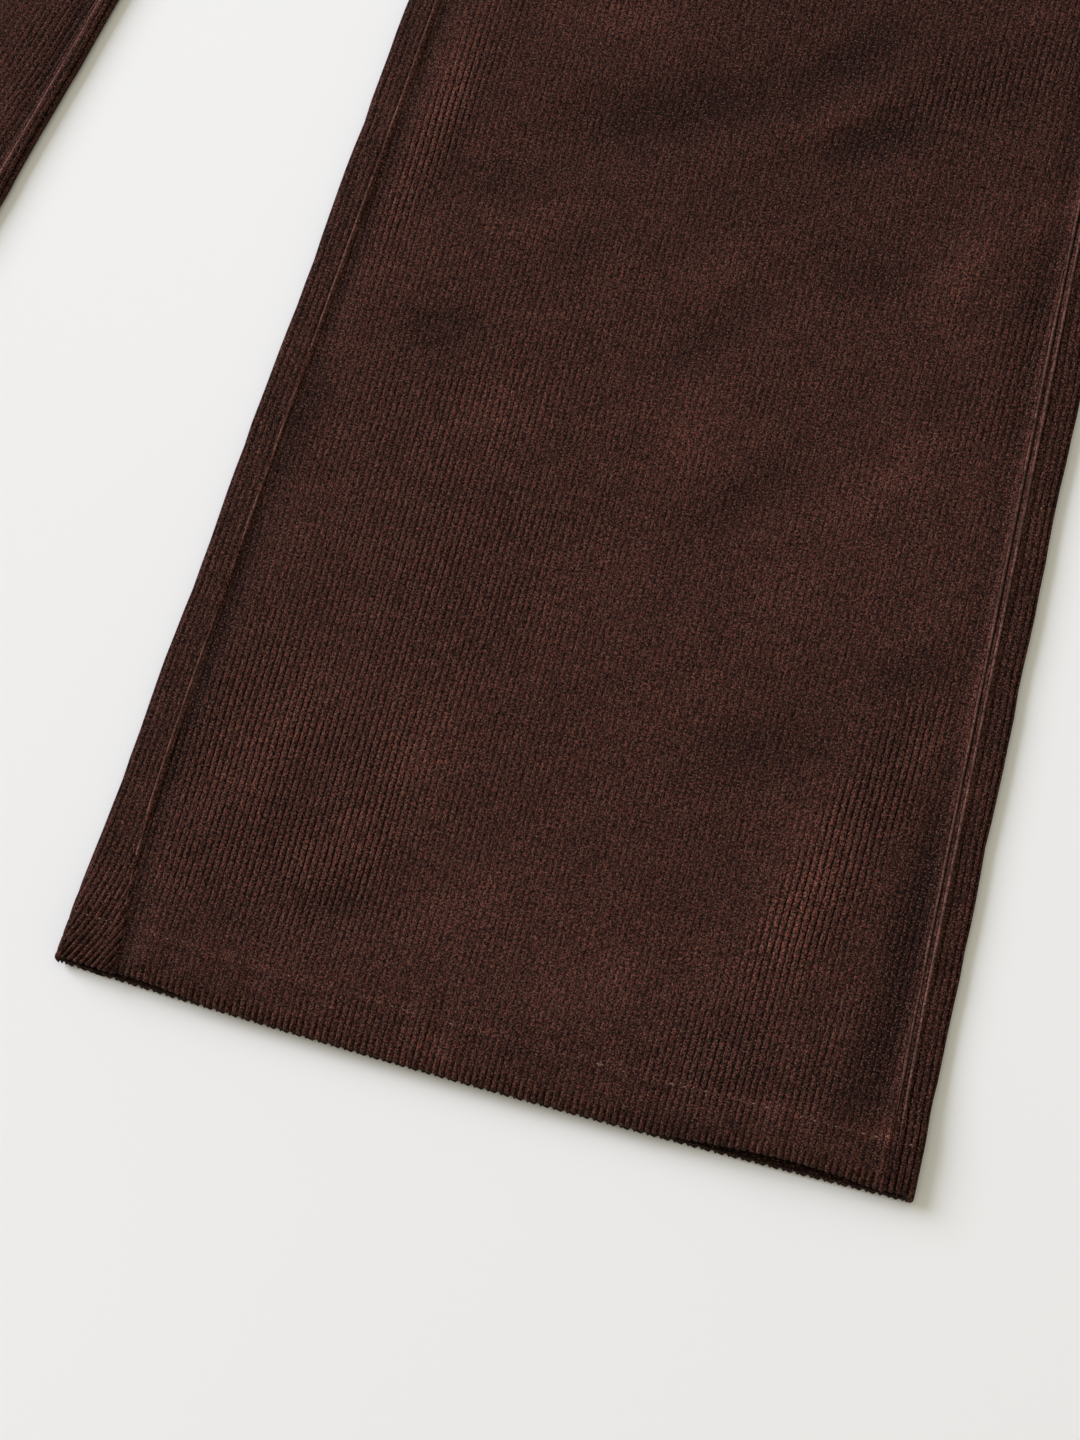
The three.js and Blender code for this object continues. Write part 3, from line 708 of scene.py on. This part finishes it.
class Nodes:
    """A material's node tree, with short ways to add and link nodes."""

    def __init__(self, name):
        self.material = bpy.data.materials.new(name)
        self.material.use_nodes = True
        self.tree = self.material.node_tree
        self.tree.nodes.clear()

    def add(self, kind, values=None, **settings):
        node = self.tree.nodes.new("ShaderNode" + kind)
        for key, value in settings.items():
            setattr(node, key, value)
        for key, value in (values or {}).items():
            if isinstance(value, bpy.types.NodeSocket):
                self.tree.links.new(value, node.inputs[key])
            else:
                node.inputs[key].default_value = value
        return node

    def place(self):
        return self.add("TexCoord").outputs["Object"]

    def math(self, operation, a, b=0.0, c=0.0, clamp=False):
        values = {0: a, 1: b, 2: c}
        return self.add("Math", values, operation=operation, use_clamp=clamp).outputs[0]

    def noise(self, vector, scale, detail=2.0, rough=0.5):
        values = {"Vector": vector, "Scale": scale, "Detail": detail, "Roughness": rough}
        return self.add("TexNoise", values).outputs["Fac"]

    def stretched(self, vector, x, y):
        values = {0: vector, 1: (x, y, 1)}
        return self.add("VectorMath", values, operation="MULTIPLY").outputs[0]

    def ramp(self, value, low, high, to_low=0.0, to_high=1.0):
        values = {"Value": value, 1: low, 2: high, 3: to_low, 4: to_high}
        return self.add("MapRange", values, interpolation_type="SMOOTHSTEP").outputs[0]

    def colours(self, factor, a, b):
        node = self.add("Mix", data_type="RGBA")
        for key, value in (("Factor", factor), ("A", a), ("B", b)):
            socket = [x for x in node.inputs if x.name == key and x.enabled][0]
            if isinstance(value, bpy.types.NodeSocket):
                self.tree.links.new(value, socket)
            else:
                socket.default_value = value
        return [x for x in node.outputs if x.enabled][0]

    def finish(self, colour, height=None, distance=0.0001, strength=1.0, **values):
        shader = self.add("BsdfPrincipled", {"Base Color": colour, **values})
        if height is not None:
            bump = self.add("Bump", {"Height": height, "Distance": distance, "Strength": strength})
            self.tree.links.new(bump.outputs[0], shader.inputs["Normal"])
        out = self.add("OutputMaterial")
        self.tree.links.new(shader.outputs[0], out.inputs[0])
        return self.material


def grey(value):
    return (value, value, value, 1)


REDDISH = (0.0405, 0.0122, 0.0094, 1)
OLIVE = (0.0285, 0.0176, 0.0102, 1)
FLECK = (0.19, 0.098, 0.07, 1)


def corduroy(name):
    """Short dark brown pile in wales, of mixed fibres, with painted shade in the grooves and
    painted light and shade in patches.
    """
    n = Nodes(name)
    cloth = n.add("UVMap", uv_map="Cloth").outputs[0]
    # The pile attribute: painted light and shade (a logarithm) and the wales' clearness.
    pile = n.add("SeparateXYZ", {0: n.add("Attribute", attribute_name="pile").outputs["Vector"]})
    tone_at, clear = pile.outputs[0], pile.outputs[1]
    wales = n.math("DIVIDE", n.add("SeparateXYZ", {0: cloth}).outputs[0], WALE)
    phase = n.math("FRACT", wales)
    off = n.math("MINIMUM", phase, n.math("SUBTRACT", 1.0, phase))
    fuzz = n.noise(n.stretched(cloth, 1.0, 0.75), 1.75, 2.0, 0.65)
    fine = n.noise(n.stretched(cloth, 1.0, 0.85), 3.0, 1.0, 0.6)
    tufts = n.noise(n.stretched(cloth, 1.0, 0.45), 0.8, 2.0, 0.6)
    patches = n.noise(cloth, 0.11, 3.0, 0.6)
    hue = n.noise(cloth, 1.5, 2.0, 0.6)
    # Painted shade in the grooves between the wales, ragged, and stronger where wales are clearer.
    ragged = n.math("MULTIPLY_ADD", n.math("SUBTRACT", fuzz, 0.5), 0.22, off)
    groove = n.ramp(ragged, 0.02, 0.26, 1.0, 0.0)
    dark = n.math("MULTIPLY", groove, n.math("MULTIPLY_ADD", clear, 0.68, 0.32))
    # Pile grain and random patches, times painted light and shade and the grooves' painted shade.
    light = n.ramp(fuzz, 0.33, 0.67, 0.2, 1.95)
    for share in (
        n.ramp(tufts, 0.3, 0.7, 0.64, 1.38),
        n.ramp(fine, 0.35, 0.65, 0.12, 2.0),
        n.ramp(patches, 0.3, 0.7, 0.88, 1.12),
        n.math("EXPONENT", tone_at),
        n.math("SUBTRACT", 1.0, dark),
    ):
        light = n.math("MULTIPLY", light, share)
    body = n.colours(n.ramp(hue, 0.49, 0.64), REDDISH, OLIVE)
    lit = n.add("VectorMath", {0: body, "Scale": light}, operation="SCALE").outputs[0]
    specks = n.ramp(n.noise(cloth, 2.3, 0.0), 0.66, 0.74, 0.0, 0.65)
    colour = n.colours(specks, lit, FLECK)
    height = n.math("ADD", n.math("MULTIPLY", fuzz, 0.7), n.math("MULTIPLY", tufts, 0.5))
    return n.finish(colour, height, 0.0003, 0.85, **{
        "Roughness": 0.92, "Specular IOR Level": 0.1, "Sheen Weight": 0.12,
        "Sheen Roughness": 0.45, "Sheen Tint": (0.62, 0.40, 0.34, 1)})


def floor_material():
    n = Nodes("floor")
    place = n.place()
    paper = n.noise(place, 3.0, 2.0)
    colour = n.colours(n.ramp(paper, 0.3, 0.7), grey(0.835), grey(0.845))
    return n.finish(colour, n.noise(place, 900.0), 0.00002, 0.3, **{
        "Roughness": 0.7, "Specular IOR Level": 0.2})


def lines(n, vector, scale, distortion=0.0):
    """Even bands along the vector's x, 0 to 1."""
    values = {"Vector": vector, "Scale": scale, "Distortion": distortion}
    return n.add("TexWave", values, bands_direction="X").outputs["Fac"]


def thread_material(name, colour):
    n = Nodes(name)
    place = n.place()
    twist = n.noise(place, 2600.0, 1.0)
    dark = tuple(0.55 * c for c in colour) + (1,)
    tone_at = n.colours(n.ramp(twist, 0.35, 0.65), dark, (*colour, 1))
    return n.finish(tone_at, twist, 0.00008, 0.8, **{
        "Roughness": 0.75, "Specular IOR Level": 0.2, "Sheen Weight": 0.2})


def tape_material():
    """Woven zip tape: a fine twill."""
    n = Nodes("zip_tape")
    place = n.place()
    warp = lines(n, n.stretched(place, 1, 1), 260.0, 0.4)
    weft = lines(n, n.add("Mapping", {0: place, 2: (0, 0, math.radians(62))}).outputs[0], 300.0)
    weave = n.math("MULTIPLY", warp, weft)
    colour = n.colours(weave, (0.012, 0.007, 0.006, 1), (0.042, 0.024, 0.02, 1))
    return n.finish(colour, weave, 0.0001, 0.7, **{"Roughness": 0.8, "Specular IOR Level": 0.2})


def metal_material():
    """Antique brass, brushed and a little worn."""
    n = Nodes("zip_metal")
    place = n.place()
    worn = n.noise(place, 420.0, 3.0, 0.6)
    brushed = n.noise(n.stretched(place, 1.0, 0.08), 5000.0, 1.0)
    colour = n.colours(n.ramp(worn, 0.35, 0.65), (0.16, 0.10, 0.045, 1), (0.42, 0.29, 0.13, 1))
    return n.finish(colour, brushed, 0.00003, 0.6, **{"Roughness": 0.34, "Metallic": 1.0})


def horn_material():
    """Dark brown horn-like resin with paler streaks."""
    n = Nodes("button")
    place = n.place()
    cloud = n.noise(n.stretched(place, 1.0, 0.35), 260.0, 3.0, 0.6)
    colour = n.colours(n.ramp(cloud, 0.4, 0.62), (0.016, 0.008, 0.005, 1), (0.075, 0.036, 0.019, 1))
    return n.finish(colour, cloud, 0.00003, 0.4, **{"Roughness": 0.3, "Coat Weight": 0.3})


def ridge_highlight_material():
    """The seam's turned edge: its pile painted pale and uneven, as a highlight on the ridge."""
    n = Nodes("painted_ridge_highlight")
    place = n.place()
    speckle = n.noise(place, 1700.0, 2.0, 0.6)
    patchy = n.noise(place, 110.0, 2.0, 0.6)
    mixed = n.math("MULTIPLY", n.ramp(speckle, 0.3, 0.7), n.ramp(patchy, 0.3, 0.65, 0.35, 1.0))
    # Painted highlight: pale speckled patches on the dark pile of the ridge.
    colour = n.colours(mixed, (0.03, 0.013, 0.011, 1), (0.27, 0.12, 0.10, 1))
    return n.finish(colour, speckle, 0.0002, 0.8, **{
        "Roughness": 0.9, "Specular IOR Level": 0.1, "Sheen Weight": 0.15})


CORDUROY = corduroy("corduroy")
# The seam ridges' painted highlight.
RIDGE_HIGHLIGHT = ridge_highlight_material()
PALE_THREAD = thread_material("hem_thread", (0.22, 0.12, 0.08))
BROWN_THREAD = thread_material("seam_thread", (0.085, 0.042, 0.03))
HORN = horn_material()
METAL = metal_material()

# ---- Waistband ----


def band_rows():
    """Heights that follow each wale up the waistband, closer where its top edge rounds over."""
    count = np.arange(0, math.ceil((WAIST_TOP - WAIST_SEAM) / WALE))
    s = WAIST_SEAM + ((count[:, None] + np.array(PHASES)[None, :]) * WALE).ravel()
    s = s[s < WAIST_TOP - BAND_WALL / 2]
    return np.concatenate([s, WAIST_TOP - BAND_WALL / 2 * np.array([1, 0.6, 0.3, 0.1, 0])])[:, None]


def band_relief(s, along):
    """The band's wales run along it; its two topstitched lines and its top edge sink."""
    relief = wale_relief((s - WAIST_SEAM) / WALE + 0 * along, along + 500, 0.75)
    relief = relief - 0.4 * bump_at(s - WAIST_SEAM - BAND_STITCH, 1.3)
    relief = relief - 0.4 * bump_at(s - WAIST_TOP + BAND_STITCH, 1.3)
    t = np.clip((s - WAIST_TOP) / (BAND_WALL / 2) + 1, 0, 1)
    relief = relief - BAND_WALL / 2 * (1 - np.sqrt(1 - t * t))
    t = np.clip(1 - (s - WAIST_SEAM) / 1.5, 0, 1)
    return relief - 0.6 * t * t


def band_shell(name, s, along, x, y, z, nx, nz, material):
    relief = band_relief(s, along)
    outer = np.stack([x + nx * relief, y + 0 * x, z + nz * relief], -1)
    inner = np.stack([x - nx * BAND_WALL, y + 0 * x, z - nz * BAND_WALL], -1)
    uv = np.stack([s - WAIST_SEAM + 0 * along, along + 4000 + 0 * s], -1)
    # Random drift in tone, and painted shade along the sunk upper stitch line.
    shade = 0.10 * nap_drift(along, s) - 0.12 * bump_at(s - WAIST_TOP + BAND_STITCH, 2)
    return shell(name, outer, inner, uv, (shade, 0.7), material, coarse=1)


def band_place(s, share, side):
    """The front band's w, x, y and z at a share of its length from its end at the fly."""
    start = -grain(s)[0] - (LAP if side < 0 else UNDERLAP)
    w = mix(start, section(s, "outer") - section(s, "wrap_out"), share)
    x = plan(s, w, side)[0]
    y = plan(np.minimum(s + GAP, WAIST_TOP) - dip(s, x), w, side)[1]
    over = smooth(x, *LAP_RISE) if side < 0 else 0 * x
    return w, x, y, BAND_TOP + (BAND_WALL + GAP) * over


def front_band(name, side, material):
    s = band_rows()
    w, x, y, z = band_place(s, np.linspace(0, 1, 76)[None, :], side)
    z = z + 0.12 * slow_ripple(w, s)
    return band_shell(name, s, w - w[:, :1], x, y, z, 0 * x, 0 * x + 1, material)


def back_band(name, material):
    s = band_rows()
    b, seam = section(s, "outer"), section(s, "wrap_out")
    r = BAND_TOP / 2
    top_part = np.linspace(1, 0, 5)[None, :-1] * (seam - r)
    angle = np.radians(np.linspace(90, -90, 11))[None, :]
    across = np.linspace(0, 1, 60)[None, 1:]
    flat = 0 * s

    def whole(on_top, on_fold, under):
        return np.concatenate([on_top + 0 * top_part, flat + on_fold, under + 0 * across], 1)

    w = whole(b - r - top_part, b - r + r * np.cos(angle), mix(b - r, -grain(s)[0], across))
    z = whole(flat + BAND_TOP, r + r * np.sin(angle), flat)
    nx = whole(flat, np.cos(angle), flat)
    nz = whole(flat + 1, np.sin(angle), flat - 1)
    step = np.hypot(np.diff(w, axis=1), np.diff(z, axis=1))
    along = np.concatenate([flat, np.cumsum(step, 1)], 1)
    x, y = plan(s, w, 1)
    y = y + GAP * (s < WAIST_TOP)
    full = 2 * along[:, -1:] - along

    def both(a, b):
        return np.concatenate([a, b[:, ::-1][:, 1:]], 1)

    return band_shell(name, s, both(along, full), both(x, -x), both(y, y), both(z, z),
                      both(nx, -nx), both(nz, nz), material)


# ---- Threads ----


def tubes(name, middles, ups, radii, material):
    """One mesh of closed six-sided tubes: middles and radii by (tube, point), an up for each."""
    middles, radii = np.asarray(middles, float), np.asarray(radii, float)
    t = np.gradient(middles, axis=1)
    t /= np.linalg.norm(t, axis=2, keepdims=True)
    u = np.cross(t, np.asarray(ups, float)[:, None])
    u /= np.linalg.norm(u, axis=2, keepdims=True)
    v = np.cross(u, t)
    turn = np.radians(np.arange(0, 360, 60))[None, None, :, None]
    spread = np.cos(turn) * u[:, :, None] + np.sin(turn) * v[:, :, None]
    points = middles[:, :, None] + spread * np.broadcast_to(radii, t.shape[:2])[..., None, None]
    at = np.arange(points[..., 0].size).reshape(points.shape[:3])
    p, q = at[:, :-1], at[:, 1:]
    p2, q2 = np.roll(p, -1, 2), np.roll(q, -1, 2)
    faces = [np.stack([p, p2, q2], -1), np.stack([p, q2, q], -1)]
    faces += [at[:, 0, [0, k + 1, k]] for k in range(1, 5)]
    faces += [at[:, -1, [0, k, k + 1]] for k in range(1, 5)]
    faces = np.concatenate([f.reshape(-1, 3) for f in faces])
    return make_object(name, points.reshape(-1, 3), faces, material)


def threads(name, ends, ups, radius, material, bow_up):
    """One mesh of short threads: ends is (count, 2, 3) in millimetres, each arched up a little."""
    ends, ups = np.asarray(ends, float), np.asarray(ups, float)
    along = np.array([0, 0.1, 0.3, 0.5, 0.7, 0.9, 1])
    thick = np.array([0.05, 0.75, 1, 1, 1, 0.75, 0.05]) * radius
    middles = ends[:, :1] + (ends[:, 1:] - ends[:, :1]) * along[None, :, None]
    middles = middles + ups[:, None] * (bow_up * 4 * along * (1 - along))[None, :, None]
    return tubes(name, middles, ups, thick, material)


def dashes(path, pitch, share):
    """Stitch ends along a path of (points, ups), one each pitch, covering a share of it."""
    points, ups = path
    step = np.linalg.norm(np.diff(points, axis=0), axis=1)
    run = np.concatenate([[0], np.cumsum(step)])
    starts = np.arange(pitch, run[-1] - pitch, pitch)

    def at(values, where):
        return np.stack([np.interp(where, run, values[:, k]) for k in range(3)], -1)

    ends = np.stack([at(points, starts), at(points, starts + share * pitch)], 1)
    lift = at(ups, starts)
    return ends, lift / np.linalg.norm(lift, axis=1, keepdims=True)


def on_front(s, w, side, sink):
    """Points on the front, sunk into its pile, with their ups. s and w are lists."""
    s, w = np.broadcast_arrays(np.asarray(s, float), np.asarray(w, float))
    s, w = s[:, None], w[:, None]
    start, end = front_edges(s, side)
    z = front_height(s, w, side, start, end) - sink
    x, y = plan(s + bow(s, w) - dip(s, plan(s, w, side)[0]), w, side)
    points = np.concatenate([x, y, z], 1)
    return points, np.broadcast_to([0.0, 0, 1], points.shape)


# ---- Pieces ----


def ready(piece, *nodes, slot="corduroy"):
    """Fixes a piece to the one body, for these nodes; slot is not used."""
    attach(piece, "root")
    if nodes:
        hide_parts(*nodes)
    return piece


def hem_stitches(side, word):
    """The hem's line of stitches: across the front, over both strips, and across the back."""
    random = np.random.default_rng(40 + side)
    s = HEM_STITCH
    start = float(inner_edge(s)) + float(wrap(s, "in", side))
    end = float(section(s, "outer")) - float(wrap(s, "out", side))
    w = np.arange(start + 1, end - 1, 0.8)
    front = on_front(s + 0.25 * np.sin(w / 9), w, side, 0.10)
    strips = []
    for key, edge, out in (("in", inner_edge(s), -1), ("out", section(s, "outer"), 1)):
        r = float(top(s, edge, side)) / 2
        seam = float(wrap(s, key, side))
        d = np.linspace(math.pi * r / 2 + seam - r - 0.8, -math.pi * r / 2, 24)[:, None]
        at_s = np.full_like(d, s)
        w, z, nw, nz = fold_ring(at_s, d, float(edge), out, seam, side, key == "in")
        x, y = plan(at_s + bow(at_s, w), w - nw * 0.25, side)
        lift = np.stack([side * nw, 0 * nw, nz], -1)[:, 0]
        strips.append((np.stack([x, y, z - nz * 0.25], -1)[:, 0], lift))
    w = np.arange(float(inner_edge(s)) + 4, float(section(s, "outer")) - 4, 2.0)
    x, y = plan(s + bow(s, w), w, side)
    under = (np.stack([x, y, np.full_like(w, 0.12)], -1), np.tile([0.0, 0, -1], (len(w), 1)))
    ends, ups = [], []
    for path in (front, *strips, under):
        found, lift = dashes(path, 3.2, 0.72)
        sunk = np.abs(random.normal(0, 0.16, len(found)))
        ends.append(found - (lift * sunk[:, None])[:, None])
        ups.append(lift)
    return threads(f"hem_stitches_{word}", np.concatenate(ends), np.concatenate(ups), 0.2,
                   PALE_THREAD, 0.05)


def seam_ridges(side, word):
    """The side seams' turned edges, standing up as thin lines painted pale as a highlight."""
    made = []
    for key, top_s, offsets in (("in", CROTCH - 60, (-1.3,)), ("out", WAIST_SEAM - 2, (0.5, -1.5))):
        s = np.arange(HEM_DEPTH, top_s, 2.5)[:, None]
        start, end = front_edges(s, side)
        middles = []
        for n, off in enumerate(offsets):
            w = start + off if key == "in" else end - off
            if off < 0:
                z = top(s, w, side) + strip_extra(-off, key == "in")
            else:
                z = front_height(s, w, side, start, end)
            fade = fold_drift(s * 1.5, 90.0 * n + (900 if key == "in" else 0))
            sink = 0.22 - 0.10 * fade[:, 0] + 0.08 * quick_ripple(s[:, 0] * 3, 5.0 * n)
            sink = sink + 0.1 * (key == "in")
            x, y = plan(s + bow(s, w), w, side)
            middles.append(np.concatenate([x, y, z - sink[:, None]], 1))
        radii = RIDGE * np.clip(np.minimum(s - s[0], s[-1] - s)[:, 0] / 20, 0.05, 1)
        ups = [(0, 0, 1)] * len(middles)
        made.append(tubes(f"seam_ridges_{key}_{word}", middles, ups, radii, RIDGE_HIGHLIGHT))
    return made


def stitch_rows(name, rows, pitch):
    """Rows of brown stitches along paths of (points, ups)."""
    made = [dashes(row, pitch, ROW_SHARE) for row in rows]
    ends, ups = (np.concatenate(part) for part in zip(*made))
    return threads(name, ends, ups, ROW_RADIUS, BROWN_THREAD, 0.08)


def fly_rows():
    """Two rows beside the fly, curving in to the centre below the zip."""
    rows = []
    turn = np.linspace(0, math.pi / 2, 24)
    for out, low in FLY_ROWS:
        curve_s = low + FLY_CURVE * (1 - np.sin(turn))
        curve_x = 4 + (out - 4) * np.cos(turn)
        s = np.concatenate([np.arange(WAIST_SEAM - 4, low + FLY_CURVE, -3), curve_s])
        x = np.concatenate([np.full(len(s) - 24, out), curve_x])
        w = (x - grain(s)[0]) / np.cos(lean(s))
        rows.append(on_front(s, w, -1, 0.05))
    return rows


def front_band_line(s, side):
    share = np.linspace(0.005, 0.995, 120)[None, :]
    x, y, z = band_place(np.array([[float(s)]]), share, side)[1:]
    points = np.stack([x, y, z - 0.35], -1)[0]
    return points, np.tile([0.0, 0, 1], (len(points), 1))


def back_band_line(s):
    s = np.array([[float(s)]])
    b = float(section(s, "outer")[0, 0])
    w = np.linspace(-float(grain(s)[0][0, 0]), b - BAND_TOP / 2, 100)[None, :]
    x, y = plan(s, w, 1)
    points = np.stack([x, y, 0 * x + 0.3], -1)[0]
    points = np.concatenate([points[::-1] * (-1, 1, 1), points[1:]])
    return points, np.tile([0.0, 0, -1], (len(points), 1))


def node_box(node):
    """A node's lowest and highest corner, in millimetres."""
    return (np.array(corner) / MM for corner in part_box(node))


def button(name, material):
    """A four-hole button: a dished disc with a rounded rim."""
    low, high = node_box("waist_button")
    centre, radius = (low + high) / 2, (high[0] - low[0]) / 2
    thick = high[2] - low[2]
    rings = np.array([0, 0.08, 0.16, 0.22, 0.27, 0.32, 0.37, 0.42, 0.47, 0.54, 0.62, 0.68, 0.72,
                      0.76, 0.82, 0.88, 0.93, 0.97, 0.99, 1.0])
    angle = np.linspace(0, 2 * math.pi, 73)[None, :]
    r = rings[:, None] * radius
    x, y = r * np.cos(angle), r * np.sin(angle)
    rim = smooth(rings[:, None], 0.64, 0.78)
    edge = np.clip((rings[:, None] - 0.84) / 0.16, 0, 1)
    z = thick * (0.74 + 0.26 * rim) - 0.34 * thick * (1 - np.sqrt(1 - edge**2))
    hole = np.hypot(np.abs(x) - HOLE_OFF, np.abs(y) - HOLE_OFF)
    z = z - 0.5 * thick * (1 - smooth(hole, 0.55, 0.95))
    bottom = 0.34 * thick * (1 - np.sqrt(1 - edge**2)) + 0 * x
    outer = np.stack([x, y, z + 0 * x], -1) + (centre[0], centre[1], low[2])
    inner = np.stack([x, y, bottom], -1) + (centre[0], centre[1], low[2])
    rows, columns = outer.shape[:2]
    at = np.arange(rows)[:, None] * columns + np.arange(columns)[None, :] % (columns - 1)
    at[0] = 0
    under = at + rows * columns
    faces = [quads(at[:-1, :-1], at[1:, :-1], at[1:, 1:], at[:-1, 1:]),
             quads(under[:-1, :-1], under[:-1, 1:], under[1:, 1:], under[1:, :-1]),
             quads(at[-1, :-1], under[-1, :-1], under[-1, 1:], at[-1, 1:])]
    points = np.concatenate([outer.reshape(-1, 3), inner.reshape(-1, 3)])
    return make_object(name, points, np.concatenate(faces), material)


def button_threads():
    """Two bars of thread through the holes, and the buttonhole's stitches round its slit."""
    low, high = node_box("waist_button")
    x, y = (low + high)[:2] / 2
    ends = []
    for across in (-HOLE_OFF, HOLE_OFF):
        for off in (-0.45, 0, 0.45):
            z = low[2] + 0.74 * (high[2] - low[2]) - 0.1
            at = y + across + off
            ends.append([(x - HOLE_OFF, at, z), (x + HOLE_OFF, at, z)])
    made = threads("button_thread", ends, [(0, 0, 1)] * len(ends), 0.26, BROWN_THREAD, 0.45)
    ends = []
    z = BAND_TOP + BAND_WALL + GAP
    for k in range(30):
        for out in (-1, 1):
            at = x + 3 - 0.75 * k
            drop = (BAND_WALL + GAP) * (1 - smooth(at, *LAP_RISE))
            ends.append([(at, y + out * 0.35, z - drop), (at, y + out * 2.0, z - drop)])
    at = x + 3 - 0.75 * 30
    drop = (BAND_WALL + GAP) * (1 - smooth(at, *LAP_RISE))
    for k in range(-3, 4):
        ends.append([(at + 0.3, y + 0.6 * k, z - drop), (at - 1.2, y + 0.6 * k, z - drop)])
    hole = threads("buttonhole", ends, [(0, 0, 1)] * len(ends), 0.3, BROWN_THREAD, 0.15)
    return made, hole


def zip_teeth():
    """The coil's turns, across the zip's middle ridge."""
    low, high = node_box("zip_tape")
    slider_low = next(node_box("zip_slider"))[1]
    y = np.arange(low[1] + 6, min(high[1] - 18, slider_low + 24), 1.15)
    ends = [[(-2.7, at, high[2] - 0.05), (2.7, at + 0.35, high[2] - 0.05)] for at in y]
    return threads("zip_teeth", ends, [(0, 0, 1)] * len(ends), 0.42, METAL, 0.12)


for word, side in (("left", 1), ("right", -1)):
    back = ready(back_panel(f"cloth_back_{word}", side, CORDUROY), f"back_{word}")
    front = ready(front_panel(f"cloth_front_{word}", side, CORDUROY), f"front_{word}")
    stitches = ready(hem_stitches(side, word))
    ridges = [ready(piece) for piece in seam_ridges(side, word)]
    more = []
    if side < 0:
        more = [ready(stitch_rows("fly_stitches", fly_rows(), 2.9))]

BAND_LINES = (WAIST_SEAM + BAND_STITCH, WAIST_TOP - BAND_STITCH)
node = "waistband_back"
band_back = ready(back_band("cloth_" + node, CORDUROY), node)
rows = [back_band_line(s) for s in BAND_LINES]
back_rows = ready(stitch_rows("waistband_stitches_back", rows, 3.0))
hole = [ready(piece) for piece in button_threads()][1]
for word, side in (("left", 1), ("right", -1)):
    node = f"waistband_front_{word}"
    band = ready(front_band("cloth_" + node, side, CORDUROY), node)
    rows = [front_band_line(s, side) for s in BAND_LINES]
    made = ready(stitch_rows("waistband_stitches_" + word, rows, 3.0))
    more = [made] if side > 0 else [made, hole]

ready(button("button", HORN), "waist_button", slot="button")
ready(zip_teeth(), slot="zip_metal")
for node, material in (("zip_tape", tape_material()), ("zip_slider", METAL)):
    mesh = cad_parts[node].data
    mesh.materials.clear()
    mesh.materials.append(material)

# ---- Floor and light ----


def make_floor():
    half = 3.0
    mesh = bpy.data.meshes.new("floor")
    corners = [(-half, -half, 0), (half, -half, 0), (half, half, 0), (-half, half, 0)]
    mesh.from_pydata(corners, [], [(0, 1, 2, 3)])
    mesh.materials.append(floor_material())
    floor = linked("floor", mesh)
    floor.location.z = -0.0002


def area_light(name, towards, height, distance, size, power, colour):
    """A square soft light in this direction in the picture, facing the picture's middle."""
    data = bpy.data.lights.new(name, "AREA")
    data.shape = "SQUARE"
    data.size = size
    data.energy = power
    data.color = colour
    light = linked(name, data)
    level = in_picture(math.radians(towards)) * math.cos(math.radians(height))
    offset = (level + Vector((0, 0, math.sin(math.radians(height))))) * distance
    light.location = LOOK_AT + offset
    light.rotation_euler = offset.to_track_quat("Z", "Y").to_euler()


make_floor()
area_light("key", 142, 32, 6.0, 3.6, 345, (0.97, 1.0, 1.18))
area_light("fill", 60, 75, 6.0, 5.0, 90, (1.0, 0.97, 0.86))
world = bpy.data.worlds.new("world")
world.use_nodes = True
background = world.node_tree.nodes["Background"]
background.inputs[0].default_value = (1.0, 0.95, 0.74, 1)
background.inputs[1].default_value = 0.36
bpy.context.scene.world = world
bpy.context.scene.view_settings.view_transform = "Standard"
